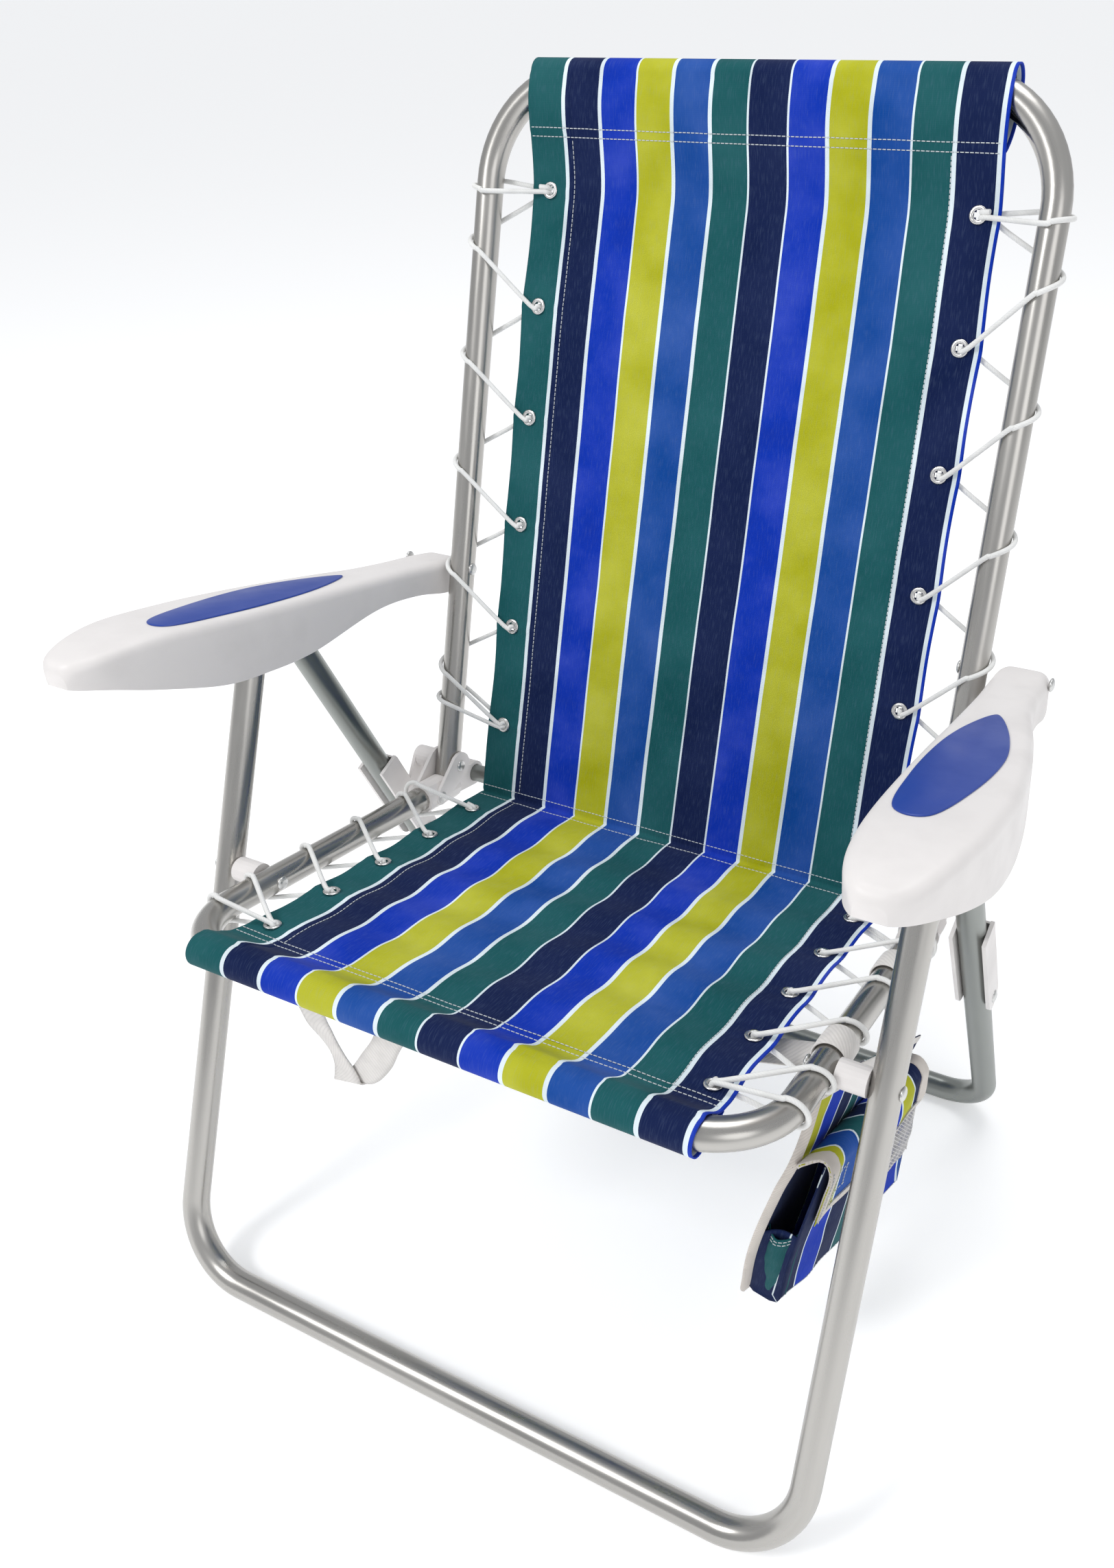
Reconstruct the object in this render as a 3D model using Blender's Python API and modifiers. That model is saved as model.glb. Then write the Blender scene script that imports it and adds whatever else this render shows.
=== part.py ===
"""Folding high-back beach chair with a laced sling, moulded arms and a side bag.

Metres, +Z up, +X the sitter's left hand, the chair faces -Y. The origin is on the floor under the
middle of the chair. Everything in the side view is laid out from the crease, where the seat cloth
meets the back cloth.
"""
import math

import bpy
import bmesh
from mathutils import Matrix, Vector

# ---------------------------------------------------------------- driving dimensions
TUBE_R = 0.0127            # one-inch aluminium tube
GAP = 0.0003               # between pieces that touch
TUBE_SIDES = 4             # bevel resolution, which gives 12 sides

CREASE_Y = 0.0951          # from the origin to the crease
CREASE_Z = 0.3212
RECLINE = math.radians(21.5)      # the back leans this far from upright
SEAT_TILT = math.radians(12.1)    # the seat rises this much to the front
LEG_LEAN = math.radians(26.8)     # the front legs lean back at the top
REAR_LEAN = math.radians(19.7)    # the rear legs lean forward at the top

RAIL_X = 0.276             # centre of the seat rails and the back posts
LEG_X = 0.328              # centre of the front and rear legs
BACK_LENGTH = 0.706        # crease to the middle of the top bar
SEAT_LENGTH = 0.381        # crease to the middle of the front bar
POST_FORWARD = 0.0085      # the posts stand this far before the back cloth
TOP_BEND, SEAT_BEND, FRONT_FLOOR_BEND, REAR_FLOOR_BEND = 0.095, 0.070, 0.070, 0.050

BACK_PIVOT_T = 0.0239      # along the posts, from the crease
ARM_PIVOT_T = 0.2365
LEG_PIVOT_S = 0.2640       # along the seat rails, from the crease
REAR_PIVOT = (-0.0118, 0.257)     # (y, z) from the crease line and the floor
FRONT_BAR_Y = -0.4425      # front floor bar, from the crease
REAR_TUBE_TOP_Z = 0.545
RAIL_REAR_S = 0.024        # the rails start here

CLOTH_HALF = 0.2335        # half the width of the sling
CLOTH_THICK = 0.0012
CREASE_GAP = 0.0009        # each cloth stops this far from the crease
BACK_HEM, SEAT_HEM = 0.052, 0.036   # length of the sewn sleeve past the bar
EYE_X = 0.2139             # rows of eyelets
EYE_R = 0.0062             # hole in the cloth
BACK_EYES, BACK_EYE_T0, BACK_PITCH = 6, 0.0787, 0.1058
SEAT_EYES, SEAT_EYE_S0, SEAT_PITCH = 5, 0.0455, 0.0696
LACE_R = 0.00225

RIVET_R = 0.0030
HEAD_R, HEAD_H = 0.0062, 0.0022
SPACER_R = 0.0118
PLATE = 0.0036             # wall of the moulded brackets
ARM_WALL = 0.0028
WEB_W, WEB_T = 0.027, 0.0016      # webbing

SINB, COSB = math.sin(RECLINE), math.cos(RECLINE)
SINS, COSS = math.sin(SEAT_TILT), math.cos(SEAT_TILT)


# ---------------------------------------------------------------- side-view places, as (y, z)
def back_at(t, forward=0.0):
    """On the back cloth, t up from the crease, moved forward off the cloth."""
    return CREASE_Y + t * SINB - forward * COSB, CREASE_Z + t * COSB + forward * SINB


def seat_at(s, up=0.0):
    """On the seat rails' middle plane, s forward from the crease, moved up off it."""
    return CREASE_Y - s * COSS + up * SINS, CREASE_Z + s * SINS + up * COSS


def along(start, lean, length):
    """From start, length up a line that leans back by lean."""
    return start[0] + length * math.sin(lean), start[1] + length * math.cos(lean)


BACK_PIVOT = back_at(BACK_PIVOT_T, POST_FORWARD)
ARM_PIVOT = back_at(ARM_PIVOT_T, POST_FORWARD)
FRONT_FLOOR = (CREASE_Y + FRONT_BAR_Y, TUBE_R)
SEAT_LEG_Z = (seat_at(LEG_PIVOT_S)[0] - FRONT_FLOOR[0]) / math.tan(LEG_LEAN) + TUBE_R
SEAT_PIVOT = (seat_at(LEG_PIVOT_S)[0], SEAT_LEG_Z)
# the seat, back, arm and front leg are a parallelogram
ARM_FRONT_PIVOT = (SEAT_PIVOT[0] + ARM_PIVOT[0] - BACK_PIVOT[0],
                   SEAT_PIVOT[1] + ARM_PIVOT[1] - BACK_PIVOT[1])
REAR_HINGE = (CREASE_Y + REAR_PIVOT[0], REAR_PIVOT[1])
REAR_FLOOR = along(REAR_HINGE, -REAR_LEAN, (TUBE_R - REAR_HINGE[1]) / math.cos(REAR_LEAN))
REAR_TOP = along(REAR_HINGE, -REAR_LEAN, (REAR_TUBE_TOP_Z - REAR_HINGE[1]) / math.cos(REAR_LEAN))
SIDES = (("left", -1), ("right", 1))

for old in list(bpy.data.objects):
    bpy.data.objects.remove(old, do_unlink=True)
chair = bpy.data.collections.new("beach_chair")
cutters = bpy.data.collections.new("cutters")
for c in (chair, cutters):
    bpy.context.scene.collection.children.link(c)


# ---------------------------------------------------------------- helpers
def material(name, colour, roughness, metallic=0.0):
    m = bpy.data.materials.new(name)
    m.use_nodes = True
    shader = m.node_tree.nodes["Principled BSDF"]
    shader.inputs["Base Color"].default_value = (*colour, 1)
    shader.inputs["Roughness"].default_value = roughness
    shader.inputs["Metallic"].default_value = metallic
    return m


ALUMINIUM = material("aluminium", (0.78, 0.79, 0.80), 0.32, 1.0)
STEEL = material("rivet_steel", (0.62, 0.63, 0.64), 0.25, 1.0)
WHITE = material("white_plastic", (0.86, 0.84, 0.82), 0.42)
BLUE = material("blue_plastic", (0.02, 0.07, 0.35), 0.35)
CLOTH = material("sling_cloth", (0.03, 0.10, 0.28), 0.85)
CORD = material("white_cord", (0.83, 0.83, 0.80), 0.7)
WEBBING = material("white_webbing", (0.78, 0.78, 0.76), 0.8)


def add(name, data, mat, collection=None):
    o = bpy.data.objects.new(name, data)
    (collection or chair).objects.link(o)
    data.materials.append(mat)
    return o


def smooth(o, angle=40):
    o.data.shade_smooth()
    o.data.set_sharp_from_angle(angle=math.radians(angle))
    return o


def rounded(corners, radii, steps=7):
    """Points along a path with its inner corners turned into arcs."""
    points = [Vector(corners[0])]
    for before, corner, after, r in zip(corners, corners[1:], corners[2:], radii):
        a, c, b = Vector(before), Vector(corner), Vector(after)
        u, v = (a - c).normalized(), (b - c).normalized()
        half = u.angle(v) / 2
        centre = c + (u + v).normalized() * r / math.sin(half)
        start, end = c + u * r / math.tan(half), c + v * r / math.tan(half)
        p, q = start - centre, end - centre
        turn = p.angle(q)
        for k in range(steps + 1):
            w = k / steps
            arc = p * math.sin((1 - w) * turn) + q * math.sin(w * turn)
            points.append(centre + arc / math.sin(turn))
    return points + [Vector(corners[-1])]


def rod(name, points, radius, mat, resolution=TUBE_SIDES):
    """A round bar along points, as a closed mesh."""
    curve = bpy.data.curves.new(name, "CURVE")
    curve.dimensions = "3D"
    curve.bevel_depth, curve.bevel_resolution, curve.use_fill_caps = radius, resolution, True
    spline = curve.splines.new("POLY")
    spline.points.add(len(points) - 1)
    for p, place in zip(spline.points, points):
        p.co = (*place, 1)
    o = add(name, curve, mat)
    mesh = bpy.data.meshes.new_from_object(o.evaluated_get(bpy.context.evaluated_depsgraph_get()))
    bpy.data.objects.remove(o)
    bm = bmesh.new()
    bm.from_mesh(mesh)
    bmesh.ops.remove_doubles(bm, verts=bm.verts, dist=1e-6)
    bm.to_mesh(mesh)
    bm.free()
    mesh.name = name
    mesh.materials.clear()
    return smooth(add(name, mesh, mat))


def cylinder_x(name, place, x0, x1, radius, mat, collection=None, sides=16):
    """A cylinder across the chair, centred on place = (y, z)."""
    bm = bmesh.new()
    across = Matrix.Translation(((x0 + x1) / 2, *place)) @ Matrix.Rotation(math.pi / 2, 4, "Y")
    bmesh.ops.create_cone(bm, cap_ends=True, segments=sides, radius1=radius, radius2=radius,
                          depth=abs(x1 - x0), matrix=across)
    mesh = bpy.data.meshes.new(name)
    bm.to_mesh(mesh)
    bm.free()
    return smooth(add(name, mesh, mat, collection))


def cut(o, tool, operation="DIFFERENCE"):
    tool.hide_render = True
    tool.display_type = "WIRE"
    m = o.modifiers.new(tool.name, "BOOLEAN")
    m.operation, m.object = operation, tool
    return o


def drill(o, place, x0, x1, radius):
    """A hole across the chair through o."""
    return cut(o, cylinder_x(f"{o.name}_drill", place, x0, x1, radius, STEEL, cutters))


def plate(name, outlines, x0, x1, mat, collection=None):
    """Flat side-view outlines [(y, z), ...] given a thickness across the chair; inner ones are holes."""
    curve = bpy.data.curves.new(name, "CURVE")
    curve.dimensions, curve.fill_mode, curve.extrude = "2D", "BOTH", abs(x1 - x0) / 2
    for outline in outlines:
        spline = curve.splines.new("POLY")
        spline.points.add(len(outline) - 1)
        for p, (y, z) in zip(spline.points, outline):
            p.co = (y, z, 0, 1)
        spline.use_cyclic_u = True
    o = add(name, curve, mat, collection)
    o.rotation_euler = (math.pi / 2, 0, math.pi / 2)
    o.location.x = (x0 + x1) / 2
    return as_mesh(o)


def as_mesh(o):
    """Turns a curve object into a closed mesh object of the same name, with its place in its mesh."""
    bpy.context.view_layer.update()
    mesh = bpy.data.meshes.new_from_object(o.evaluated_get(bpy.context.evaluated_depsgraph_get()))
    mesh.transform(o.matrix_world)
    bm = bmesh.new()
    bm.from_mesh(mesh)
    bmesh.ops.remove_doubles(bm, verts=bm.verts, dist=1e-6)
    bm.to_mesh(mesh)
    bm.free()
    name, mat, home = o.name, o.data.materials[0], o.users_collection[0]
    bpy.data.objects.remove(o)
    mesh.materials.clear()
    return add(name, mesh, mat, home)


def circle(place, radius, sides=16, start=0.0, turn=2 * math.pi):
    count = sides if turn == 2 * math.pi else sides + 1
    return [(place[0] + radius * math.cos(start + turn * k / sides),
             place[1] + radius * math.sin(start + turn * k / sides)) for k in range(count)]


def capsule(a, b, radius, radius_b=None, sides=8):
    """Outline round two points, like a link."""
    rb = radius_b or radius
    angle = math.atan2(b[1] - a[1], b[0] - a[0])
    return (circle(a, radius, sides, angle + math.pi / 2, math.pi)
            + circle(b, rb, sides, angle - math.pi / 2, math.pi))


def rivet(name, place, x0, x1, mat=STEEL):
    """A shank from x0 to x1 with a domed head outside each end."""
    low, high = min(x0, x1), max(x0, x1)
    profile = [(0, high + HEAD_H), (HEAD_R * 0.7, high + HEAD_H * 0.75), (HEAD_R, high), (RIVET_R, high),
               (RIVET_R, low), (HEAD_R, low), (HEAD_R * 0.7, low - HEAD_H * 0.75), (0, low - HEAD_H)]
    mesh = bpy.data.meshes.new(name)
    mesh.from_pydata([(r, 0, h) for r, h in profile], [(k, k + 1) for k in range(len(profile) - 1)], [])
    o = add(name, mesh, mat)
    turn = o.modifiers.new("turned", "SCREW")
    turn.steps = turn.render_steps = 12
    turn.use_merge_vertices, turn.merge_threshold = True, 1e-5
    o.rotation_euler = (0, math.pi / 2, 0)
    o.location = (0, *place)
    return o


# ---------------------------------------------------------------- frames
def seat_frame():
    """A U of tube: two rails and the front bar."""
    rear, front = seat_at(RAIL_REAR_S), seat_at(SEAT_LENGTH)
    corners = [(-RAIL_X, *rear), (-RAIL_X, *front), (RAIL_X, *front), (RAIL_X, *rear)]
    o = rod("seat_frame", rounded(corners, (SEAT_BEND, SEAT_BEND)), TUBE_R, ALUMINIUM)
    for _, side in SIDES:
        inner, outer = side * (RAIL_X - 0.02), side * (RAIL_X + 0.02)
        drill(o, SEAT_PIVOT, inner, outer, RIVET_R + GAP)
        drill(o, BRACKET_RIVET, inner, outer, RIVET_R + GAP)
    return o


def back_frame():
    """An inverted U of tube: two posts and the top bar."""
    foot, top = back_at(BACK_PIVOT_T - FOOT, POST_FORWARD), back_at(BACK_LENGTH, POST_FORWARD)
    corners = [(-RAIL_X, *foot), (-RAIL_X, *top), (RAIL_X, *top), (RAIL_X, *foot)]
    o = rod("back_frame", rounded(corners, (TOP_BEND, TOP_BEND), 9), TUBE_R, ALUMINIUM)
    for _, side in SIDES:
        for place in (BACK_PIVOT, ARM_PIVOT):
            drill(o, place, side * (RAIL_X - 0.02), side * (RAIL_X + 0.02), RIVET_R + GAP)
    return o


LUG_OFFSET = ((ARM_FRONT_PIVOT[0] - FRONT_FLOOR[0]) * math.cos(LEG_LEAN)
              - (ARM_FRONT_PIVOT[1] - FRONT_FLOOR[1]) * math.sin(LEG_LEAN))  # pivot to the leg's line
LEG_TO_PIVOT = ((ARM_FRONT_PIVOT[0] - FRONT_FLOOR[0]) * math.sin(LEG_LEAN)
                + (ARM_FRONT_PIVOT[1] - FRONT_FLOOR[1]) * math.cos(LEG_LEAN))
LUG_BELOW, LUG_ABOVE = 0.0090, 0.0062      # along the leg, from the pivot


def front_leg_frame():
    """A U of tube: two legs and the front floor bar."""
    top = along(FRONT_FLOOR, LEG_LEAN, LEG_TO_PIVOT - LUG_BELOW)
    corners = [(-LEG_X, *top), (-LEG_X, *FRONT_FLOOR), (LEG_X, *FRONT_FLOOR), (LEG_X, *top)]
    o = rod("front_leg_frame", rounded(corners, (FRONT_FLOOR_BEND,) * 2), TUBE_R, ALUMINIUM)
    for _, side in SIDES:
        drill(o, SEAT_PIVOT, side * (LEG_X - 0.02), side * (LEG_X + 0.02), RIVET_R + GAP)
    return o


def rear_leg_frame():
    """A U of tube: two legs and the rear floor bar."""
    corners = [(-LEG_X, *REAR_TOP), (-LEG_X, *REAR_FLOOR), (LEG_X, *REAR_FLOOR), (LEG_X, *REAR_TOP)]
    o = rod("rear_leg_frame", rounded(corners, (REAR_FLOOR_BEND,) * 2), TUBE_R, ALUMINIUM)
    for _, side in SIDES:
        drill(o, REAR_HINGE, side * (LEG_X - 0.02), side * (LEG_X + 0.02), RIVET_R + GAP)
    return o


# ---------------------------------------------------------------- brackets, spacers and rivets
SOCKET_LENGTH = 0.030
SOCKET_FRONT = RAIL_REAR_S + SOCKET_LENGTH
BRACKET_RIVET = seat_at(RAIL_REAR_S + 0.013)
EAR_INNER = RAIL_X - TUBE_R - GAP          # inner faces of the two ears
EAR_OUTER = RAIL_X + TUBE_R + GAP
CLEVIS_INNER = LEG_X - TUBE_R - GAP
CLEVIS_OUTER = LEG_X + TUBE_R + GAP
EAR_R = 0.0150
CROSS_BAR = (BACK_PIVOT[0] + 0.030, BACK_PIVOT[1] - 0.030)
CROSS_BAR_R = 0.0095
CLEVIS_R, CLEVIS_LENGTH = 0.0135, 0.1150
FOOT = 0.012               # the post reaches this far below its pivot
BACK_FOLD = 85             # degrees forward
TIP_HEIGHT = 0.0120
PEG = along(REAR_TOP, -REAR_LEAN, TIP_HEIGHT / 2 + 0.001)


def hinge_bracket(name, side):
    """Moulded piece on the rail's end: a socket, two ears round the post, and a lug for the cross bar."""
    ear = capsule(BRACKET_RIVET, BACK_PIVOT, 0.0085, EAR_R)
    bracket = plate(name, [ear], side * EAR_INNER, side * (EAR_INNER - PLATE), WHITE)
    middle = side * RAIL_X
    cut(bracket, plate(f"{name}_outer_ear", [ear], side * EAR_OUTER, side * (EAR_OUTER + PLATE),
                       WHITE, cutters), "UNION")
    cut(bracket, plate(f"{name}_lug", [capsule(seat_at(RAIL_REAR_S), CROSS_BAR, 0.0100, 0.0135)],
                       middle - 0.0085, middle + 0.0085, WHITE, cutters), "UNION")
    cut(bracket, bar_tool(f"{name}_sleeve", middle, seat_at(SOCKET_FRONT),
                          seat_at(RAIL_REAR_S - 0.020), TUBE_R + PLATE), "UNION")
    cut(bracket, bar_tool(f"{name}_bore", middle, seat_at(SOCKET_FRONT + 0.01),
                          seat_at(RAIL_REAR_S - GAP), TUBE_R + GAP))
    folded = along(BACK_PIVOT, RECLINE - math.radians(BACK_FOLD), 0.09)
    upright = along(BACK_PIVOT, RECLINE, 0.09)
    wall = TUBE_R + GAP
    for label, room in (("foot", circle(BACK_PIVOT, math.hypot(FOOT, TUBE_R) + 2 * GAP, 24)),
                        ("upright", capsule(BACK_PIVOT, upright, wall)),
                        ("folded", capsule(BACK_PIVOT, folded, wall))):
        cut(bracket, plate(f"{name}_{label}_room", [room], middle - wall, middle + wall, WHITE, cutters))
    for place in (BACK_PIVOT, BRACKET_RIVET):
        drill(bracket, place, side * (EAR_INNER - 0.01), side * (EAR_OUTER + 0.01), RIVET_R + GAP)
    return drill(bracket, CROSS_BAR, middle - 0.02, middle + 0.02, CROSS_BAR_R + GAP)


def bar_tool(name, x, start, end, radius):
    """A round cutter from start to end, two (y, z) places in one side view."""
    o = rod(name, [(x, *start), (x, *end)], radius, WHITE)
    chair.objects.unlink(o)
    cutters.objects.link(o)
    return o


def leg_side(above, half):
    """Outline along the rear leg: round under its hinge, with a flat top."""
    bottom = circle(REAR_HINGE, half, 12, math.pi + REAR_LEAN, math.pi)
    corner = along(REAR_HINGE, -REAR_LEAN, above)
    u = (half * math.cos(REAR_LEAN), half * math.sin(REAR_LEAN))
    return bottom + [(corner[0] + u[0], corner[1] + u[1]), (corner[0] - u[0], corner[1] - u[1])]


def rear_leg_clevis(name, side):
    """Moulded fork that the rear leg lies in and turns on, held by the hinge rivet through its spacer."""
    outline = leg_side(CLEVIS_LENGTH, CLEVIS_R)
    inner_x, outer_x = side * CLEVIS_INNER, side * CLEVIS_OUTER
    fork = plate(name, [outline], inner_x, inner_x - side * PLATE, WHITE)
    arm = capsule(along(REAR_HINGE, -REAR_LEAN, 0.05), BACK_PIVOT, 0.0120, 0.0115)
    cut(fork, plate(f"{name}_reach", [arm], inner_x, inner_x - side * PLATE, WHITE, cutters), "UNION")
    cut(fork, plate(f"{name}_outer", [outline], outer_x, outer_x + side * PLATE, WHITE, cutters), "UNION")
    wall = TUBE_R + GAP
    a, b = along(REAR_HINGE, -REAR_LEAN, 0.035), along(REAR_HINGE, -REAR_LEAN, CLEVIS_LENGTH - 0.005)
    near = (wall * math.cos(REAR_LEAN), wall * math.sin(REAR_LEAN))
    far = (near[0] * (1 + 0.0022 / wall), near[1] * (1 + 0.0022 / wall))
    web = [(a[0] + near[0], a[1] + near[1]), (a[0] + far[0], a[1] + far[1]),
           (b[0] + far[0], b[1] + far[1]), (b[0] + near[0], b[1] + near[1])]
    cut(fork, plate(f"{name}_web", [web], inner_x - side * PLATE / 2, outer_x + side * PLATE / 2,
                    WHITE, cutters), "UNION")
    drill(fork, REAR_HINGE, side * (CLEVIS_INNER - 0.01), side * (CLEVIS_OUTER + 0.01), RIVET_R + GAP)
    return drill(fork, BACK_PIVOT, side * (CLEVIS_INNER - 0.01), side * (CLEVIS_INNER + 0.01),
                 RIVET_R + GAP)


def spacer(name, side, place, x0, x1):
    o = cylinder_x(name, place, side * x0, side * x1, SPACER_R, WHITE, sides=20)
    return drill(o, place, side * (x0 - 0.01), side * (x1 + 0.01), RIVET_R + GAP)


# ---------------------------------------------------------------- arms
ARM_PLAN = [(0.2950, 0.094), (0.2955, 0.060), (0.2985, 0.010), (0.2998, -0.060), (0.3000, -0.120),
            (0.3015, -0.180), (0.3050, -0.250), (0.3125, -0.312), (0.3300, -0.344), (0.3510, -0.346),
            (0.3710, -0.322), (0.3845, -0.265), (0.3870, -0.200), (0.3830, -0.150), (0.3745, -0.100),
            (0.3625, -0.050), (0.3510, -0.010), (0.3458, 0.030), (0.3440, 0.070), (0.3385, 0.098),
            (0.3240, 0.108), (0.3060, 0.107)]      # (out from the middle, back from the crease)
INLAY_PLAN = [(0.3195, -0.2475), (0.3455, -0.2475), (0.3600, -0.1900), (0.3640, -0.1300),
              (0.3550, -0.0830), (0.3350, -0.0420), (0.3255, -0.0420), (0.3140, -0.0830),
              (0.3095, -0.1300), (0.3110, -0.1900)]
ARM_SLOPE, ARM_TOP_Z, ARM_TOP_Y = 0.24, 0.5770, -0.039
ARM_SKIRT = [(-0.346, 0.600), (-0.290, 0.587), (-0.224, 0.5595), (-0.1855, 0.5504), (-0.120, 0.5410),
             (-0.031, 0.5424), (0.027, 0.5310), (0.085, 0.5114), (0.108, 0.5114)]   # lower edge
INLAY_T = 0.0014


def arm_top(y):
    """Height of the arm's top at y back from the crease; the nose droops."""
    droop = max(0.0, -0.255 - y)
    return ARM_TOP_Z + ARM_SLOPE * (ARM_TOP_Y - y) - 5.2 * droop * droop


def arm_bottom(y):
    for (y0, z0), (y1, z1) in zip(ARM_SKIRT, ARM_SKIRT[1:]):
        if y <= y1:
            return z0 + (z1 - z0) * max(0.0, (y - y0) / (y1 - y0))
    return ARM_SKIRT[-1][1]


def closed_curve(points, steps):
    """A smooth closed line through points."""
    count, line = len(points), []
    for k in range(count):
        a, b, c, d = (Vector(points[(k + j) % count]) for j in (-1, 0, 1, 2))
        for j in range(steps):
            t = j / steps
            line.append(0.5 * (2 * b + (c - a) * t + (2 * a - 5 * b + 4 * c - d) * t * t
                               + (3 * b - a - 3 * c + d) * t ** 3))
    return line


def inset(line, distance):
    """The closed line moved inwards."""
    count, result = len(line), []
    for k in range(count):
        along_line = (line[(k + 1) % count] - line[k - 1]).normalized()
        result.append(line[k] + Vector((-along_line.y, along_line.x)) * distance)
    return result


def arm(name, side):
    """A moulded shell, open underneath."""
    plan = closed_curve(ARM_PLAN, 2)
    area = sum(a.x * b.y - a.y * b.x for a, b in zip(plan, plan[1:] + plan[:1]))
    inward = 1 if area > 0 else -1
    bm = bmesh.new()
    rings = []
    for distance, drop in ((0.0, None), (0.0, 0.0060), (0.0020, 0.0018), (0.0060, 0.0)):
        ring = []
        for edge, p in zip(plan, inset(plan, inward * distance)):
            z = arm_bottom(edge.y) if drop is None else arm_top(p.y) - drop
            ring.append(bm.verts.new((side * p.x, CREASE_Y + p.y, z)))
        rings.append(ring)
    for low, high in zip(rings, rings[1:]):
        for k in range(len(low)):
            j = (k + 1) % len(low)
            bm.faces.new((low[k], low[j], high[j], high[k]))
    bm.faces.new(rings[-1])
    bmesh.ops.recalc_face_normals(bm, faces=bm.faces)
    if max(bm.faces, key=lambda f: f.calc_center_median().z).normal.z < 0:
        bmesh.ops.reverse_faces(bm, faces=bm.faces)
    mesh = bpy.data.meshes.new(name)
    bm.to_mesh(mesh)
    bm.free()
    o = smooth(add(name, mesh, WHITE))
    wall = o.modifiers.new("wall", "SOLIDIFY")
    wall.thickness, wall.offset, wall.use_even_offset = ARM_WALL, -1, True
    return drill(o, ARM_PIVOT, side * 0.285, side * 0.36, RIVET_R + GAP)


def inlay(name, side):
    """A flat leaf-shaped plate on the arm's top."""
    bm = bmesh.new()
    line = closed_curve(INLAY_PLAN, 3)
    lift = Vector((0, ARM_SLOPE, 1)).normalized()
    rings = [[bm.verts.new(Vector((side * p.x, CREASE_Y + p.y, arm_top(p.y))) + lift * h) for p in line]
             for h in (GAP, GAP + INLAY_T)]
    for k in range(len(line)):
        j = (k + 1) % len(line)
        bm.faces.new((rings[0][k], rings[0][j], rings[1][j], rings[1][k]))
    bm.faces.new(rings[1])
    bm.faces.new(rings[0][::-1])
    bmesh.ops.recalc_face_normals(bm, faces=bm.faces)
    mesh = bpy.data.meshes.new(name)
    bm.to_mesh(mesh)
    bm.free()
    return add(name, mesh, BLUE)


def in_leg(f, e):
    """A place by the front leg's top: f behind its arm pivot, e up along the leg."""
    sin, cos = math.sin(LEG_LEAN), math.cos(LEG_LEAN)
    return ARM_FRONT_PIVOT[0] + f * cos + e * sin, ARM_FRONT_PIVOT[1] - f * sin + e * cos


def leg_top_lug(name, side):
    """Block on the front leg's top that carries the arm's pin."""
    low, high, back = -LUG_BELOW + GAP, LUG_ABOVE, LUG_OFFSET + 0.0100
    outline = [in_leg(*p) for p in ((-0.0075, low + 0.003), (-0.0075, high - 0.003), (-0.004, high),
                                    (back - 0.006, high), (back, high - 0.006), (back, low),
                                    (-0.0045, low))]
    o = plate(name, [outline], side * (LEG_X - 0.0115), side * (LEG_X + 0.0115), WHITE)
    return drill(o, ARM_FRONT_PIVOT, side * (LEG_X - 0.02), side * (LEG_X + 0.02), RIVET_R + GAP)


def rear_leg_tip(name, side):
    """Plug on the rear leg's top with a peg for the arm's rack."""
    base, top = along(REAR_TOP, -REAR_LEAN, GAP), along(REAR_TOP, -REAR_LEAN, TIP_HEIGHT)
    tip = rod(name, [(side * LEG_X, *base), (side * LEG_X, *top)], TUBE_R, WHITE)
    peg = cylinder_x(f"{name}_peg", PEG, side * 0.3052, side * LEG_X, RIVET_R, WHITE, cutters)
    return cut(tip, peg, "UNION")


def recline_rack(name, side):
    """Notched rail inside the arm, which the rear leg's peg rests in."""
    front, rear = PEG[0] - 0.030, PEG[0] + 0.085
    ceiling = [(y, arm_top(y - CREASE_Y) - ARM_WALL - 0.0020) for y in (front, rear)]
    edge = []
    for k in range(4):
        y = PEG[0] + 0.024 * k
        z = PEG[1] - 0.0012 * k
        edge += [(y - 0.0065, z - 0.0045), (y - 0.0034, z + 0.0036), (y + 0.0046, z + 0.0036),
                 (y + 0.0125, z - 0.0045)]
    outline = [ceiling[0], (front, PEG[1] - 0.0045)] + edge + [(rear, edge[-1][1]), ceiling[1]]
    return plate(name, [outline], side * 0.3046, side * 0.3124, WHITE)


# ---------------------------------------------------------------- sling and lacing
def sleeve_outline(place, bar_at, bar_n, hem, bend):
    """Side view of a cloth that ends in a sewn sleeve round a bar; place(t, n) gives (y, z)."""
    h, end, arc = CLOTH_THICK / 2, bar_at - hem, [math.radians(a) for a in range(0, 181, 20)]
    inner = TUBE_R + GAP
    outer = inner + CLOTH_THICK
    # the tube's bend starts inside the sleeve, and drops this far by the cloth's edge
    reach = CLOTH_HALF - (RAIL_X - bend)
    drop = bend - math.sqrt(bend * bend - reach * reach) + 0.008
    low = bar_at - drop
    outside = ([(CREASE_GAP, h), (end, h), (low, bar_n + outer)]
               + [(bar_at + outer * math.sin(a), bar_n + outer * math.cos(a)) for a in arc]
               + [(low, bar_n - outer), (end, -h), (CREASE_GAP, -h)])
    hole = ([(end + (low - end) * 0.2, bar_n * 0.2), (low, bar_n + inner)]
            + [(bar_at + inner * math.sin(a), bar_n + inner * math.cos(a)) for a in arc]
            + [(low, bar_n - inner)])
    return [[place(*p) for p in outside], [place(*p) for p in hole]]


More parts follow.
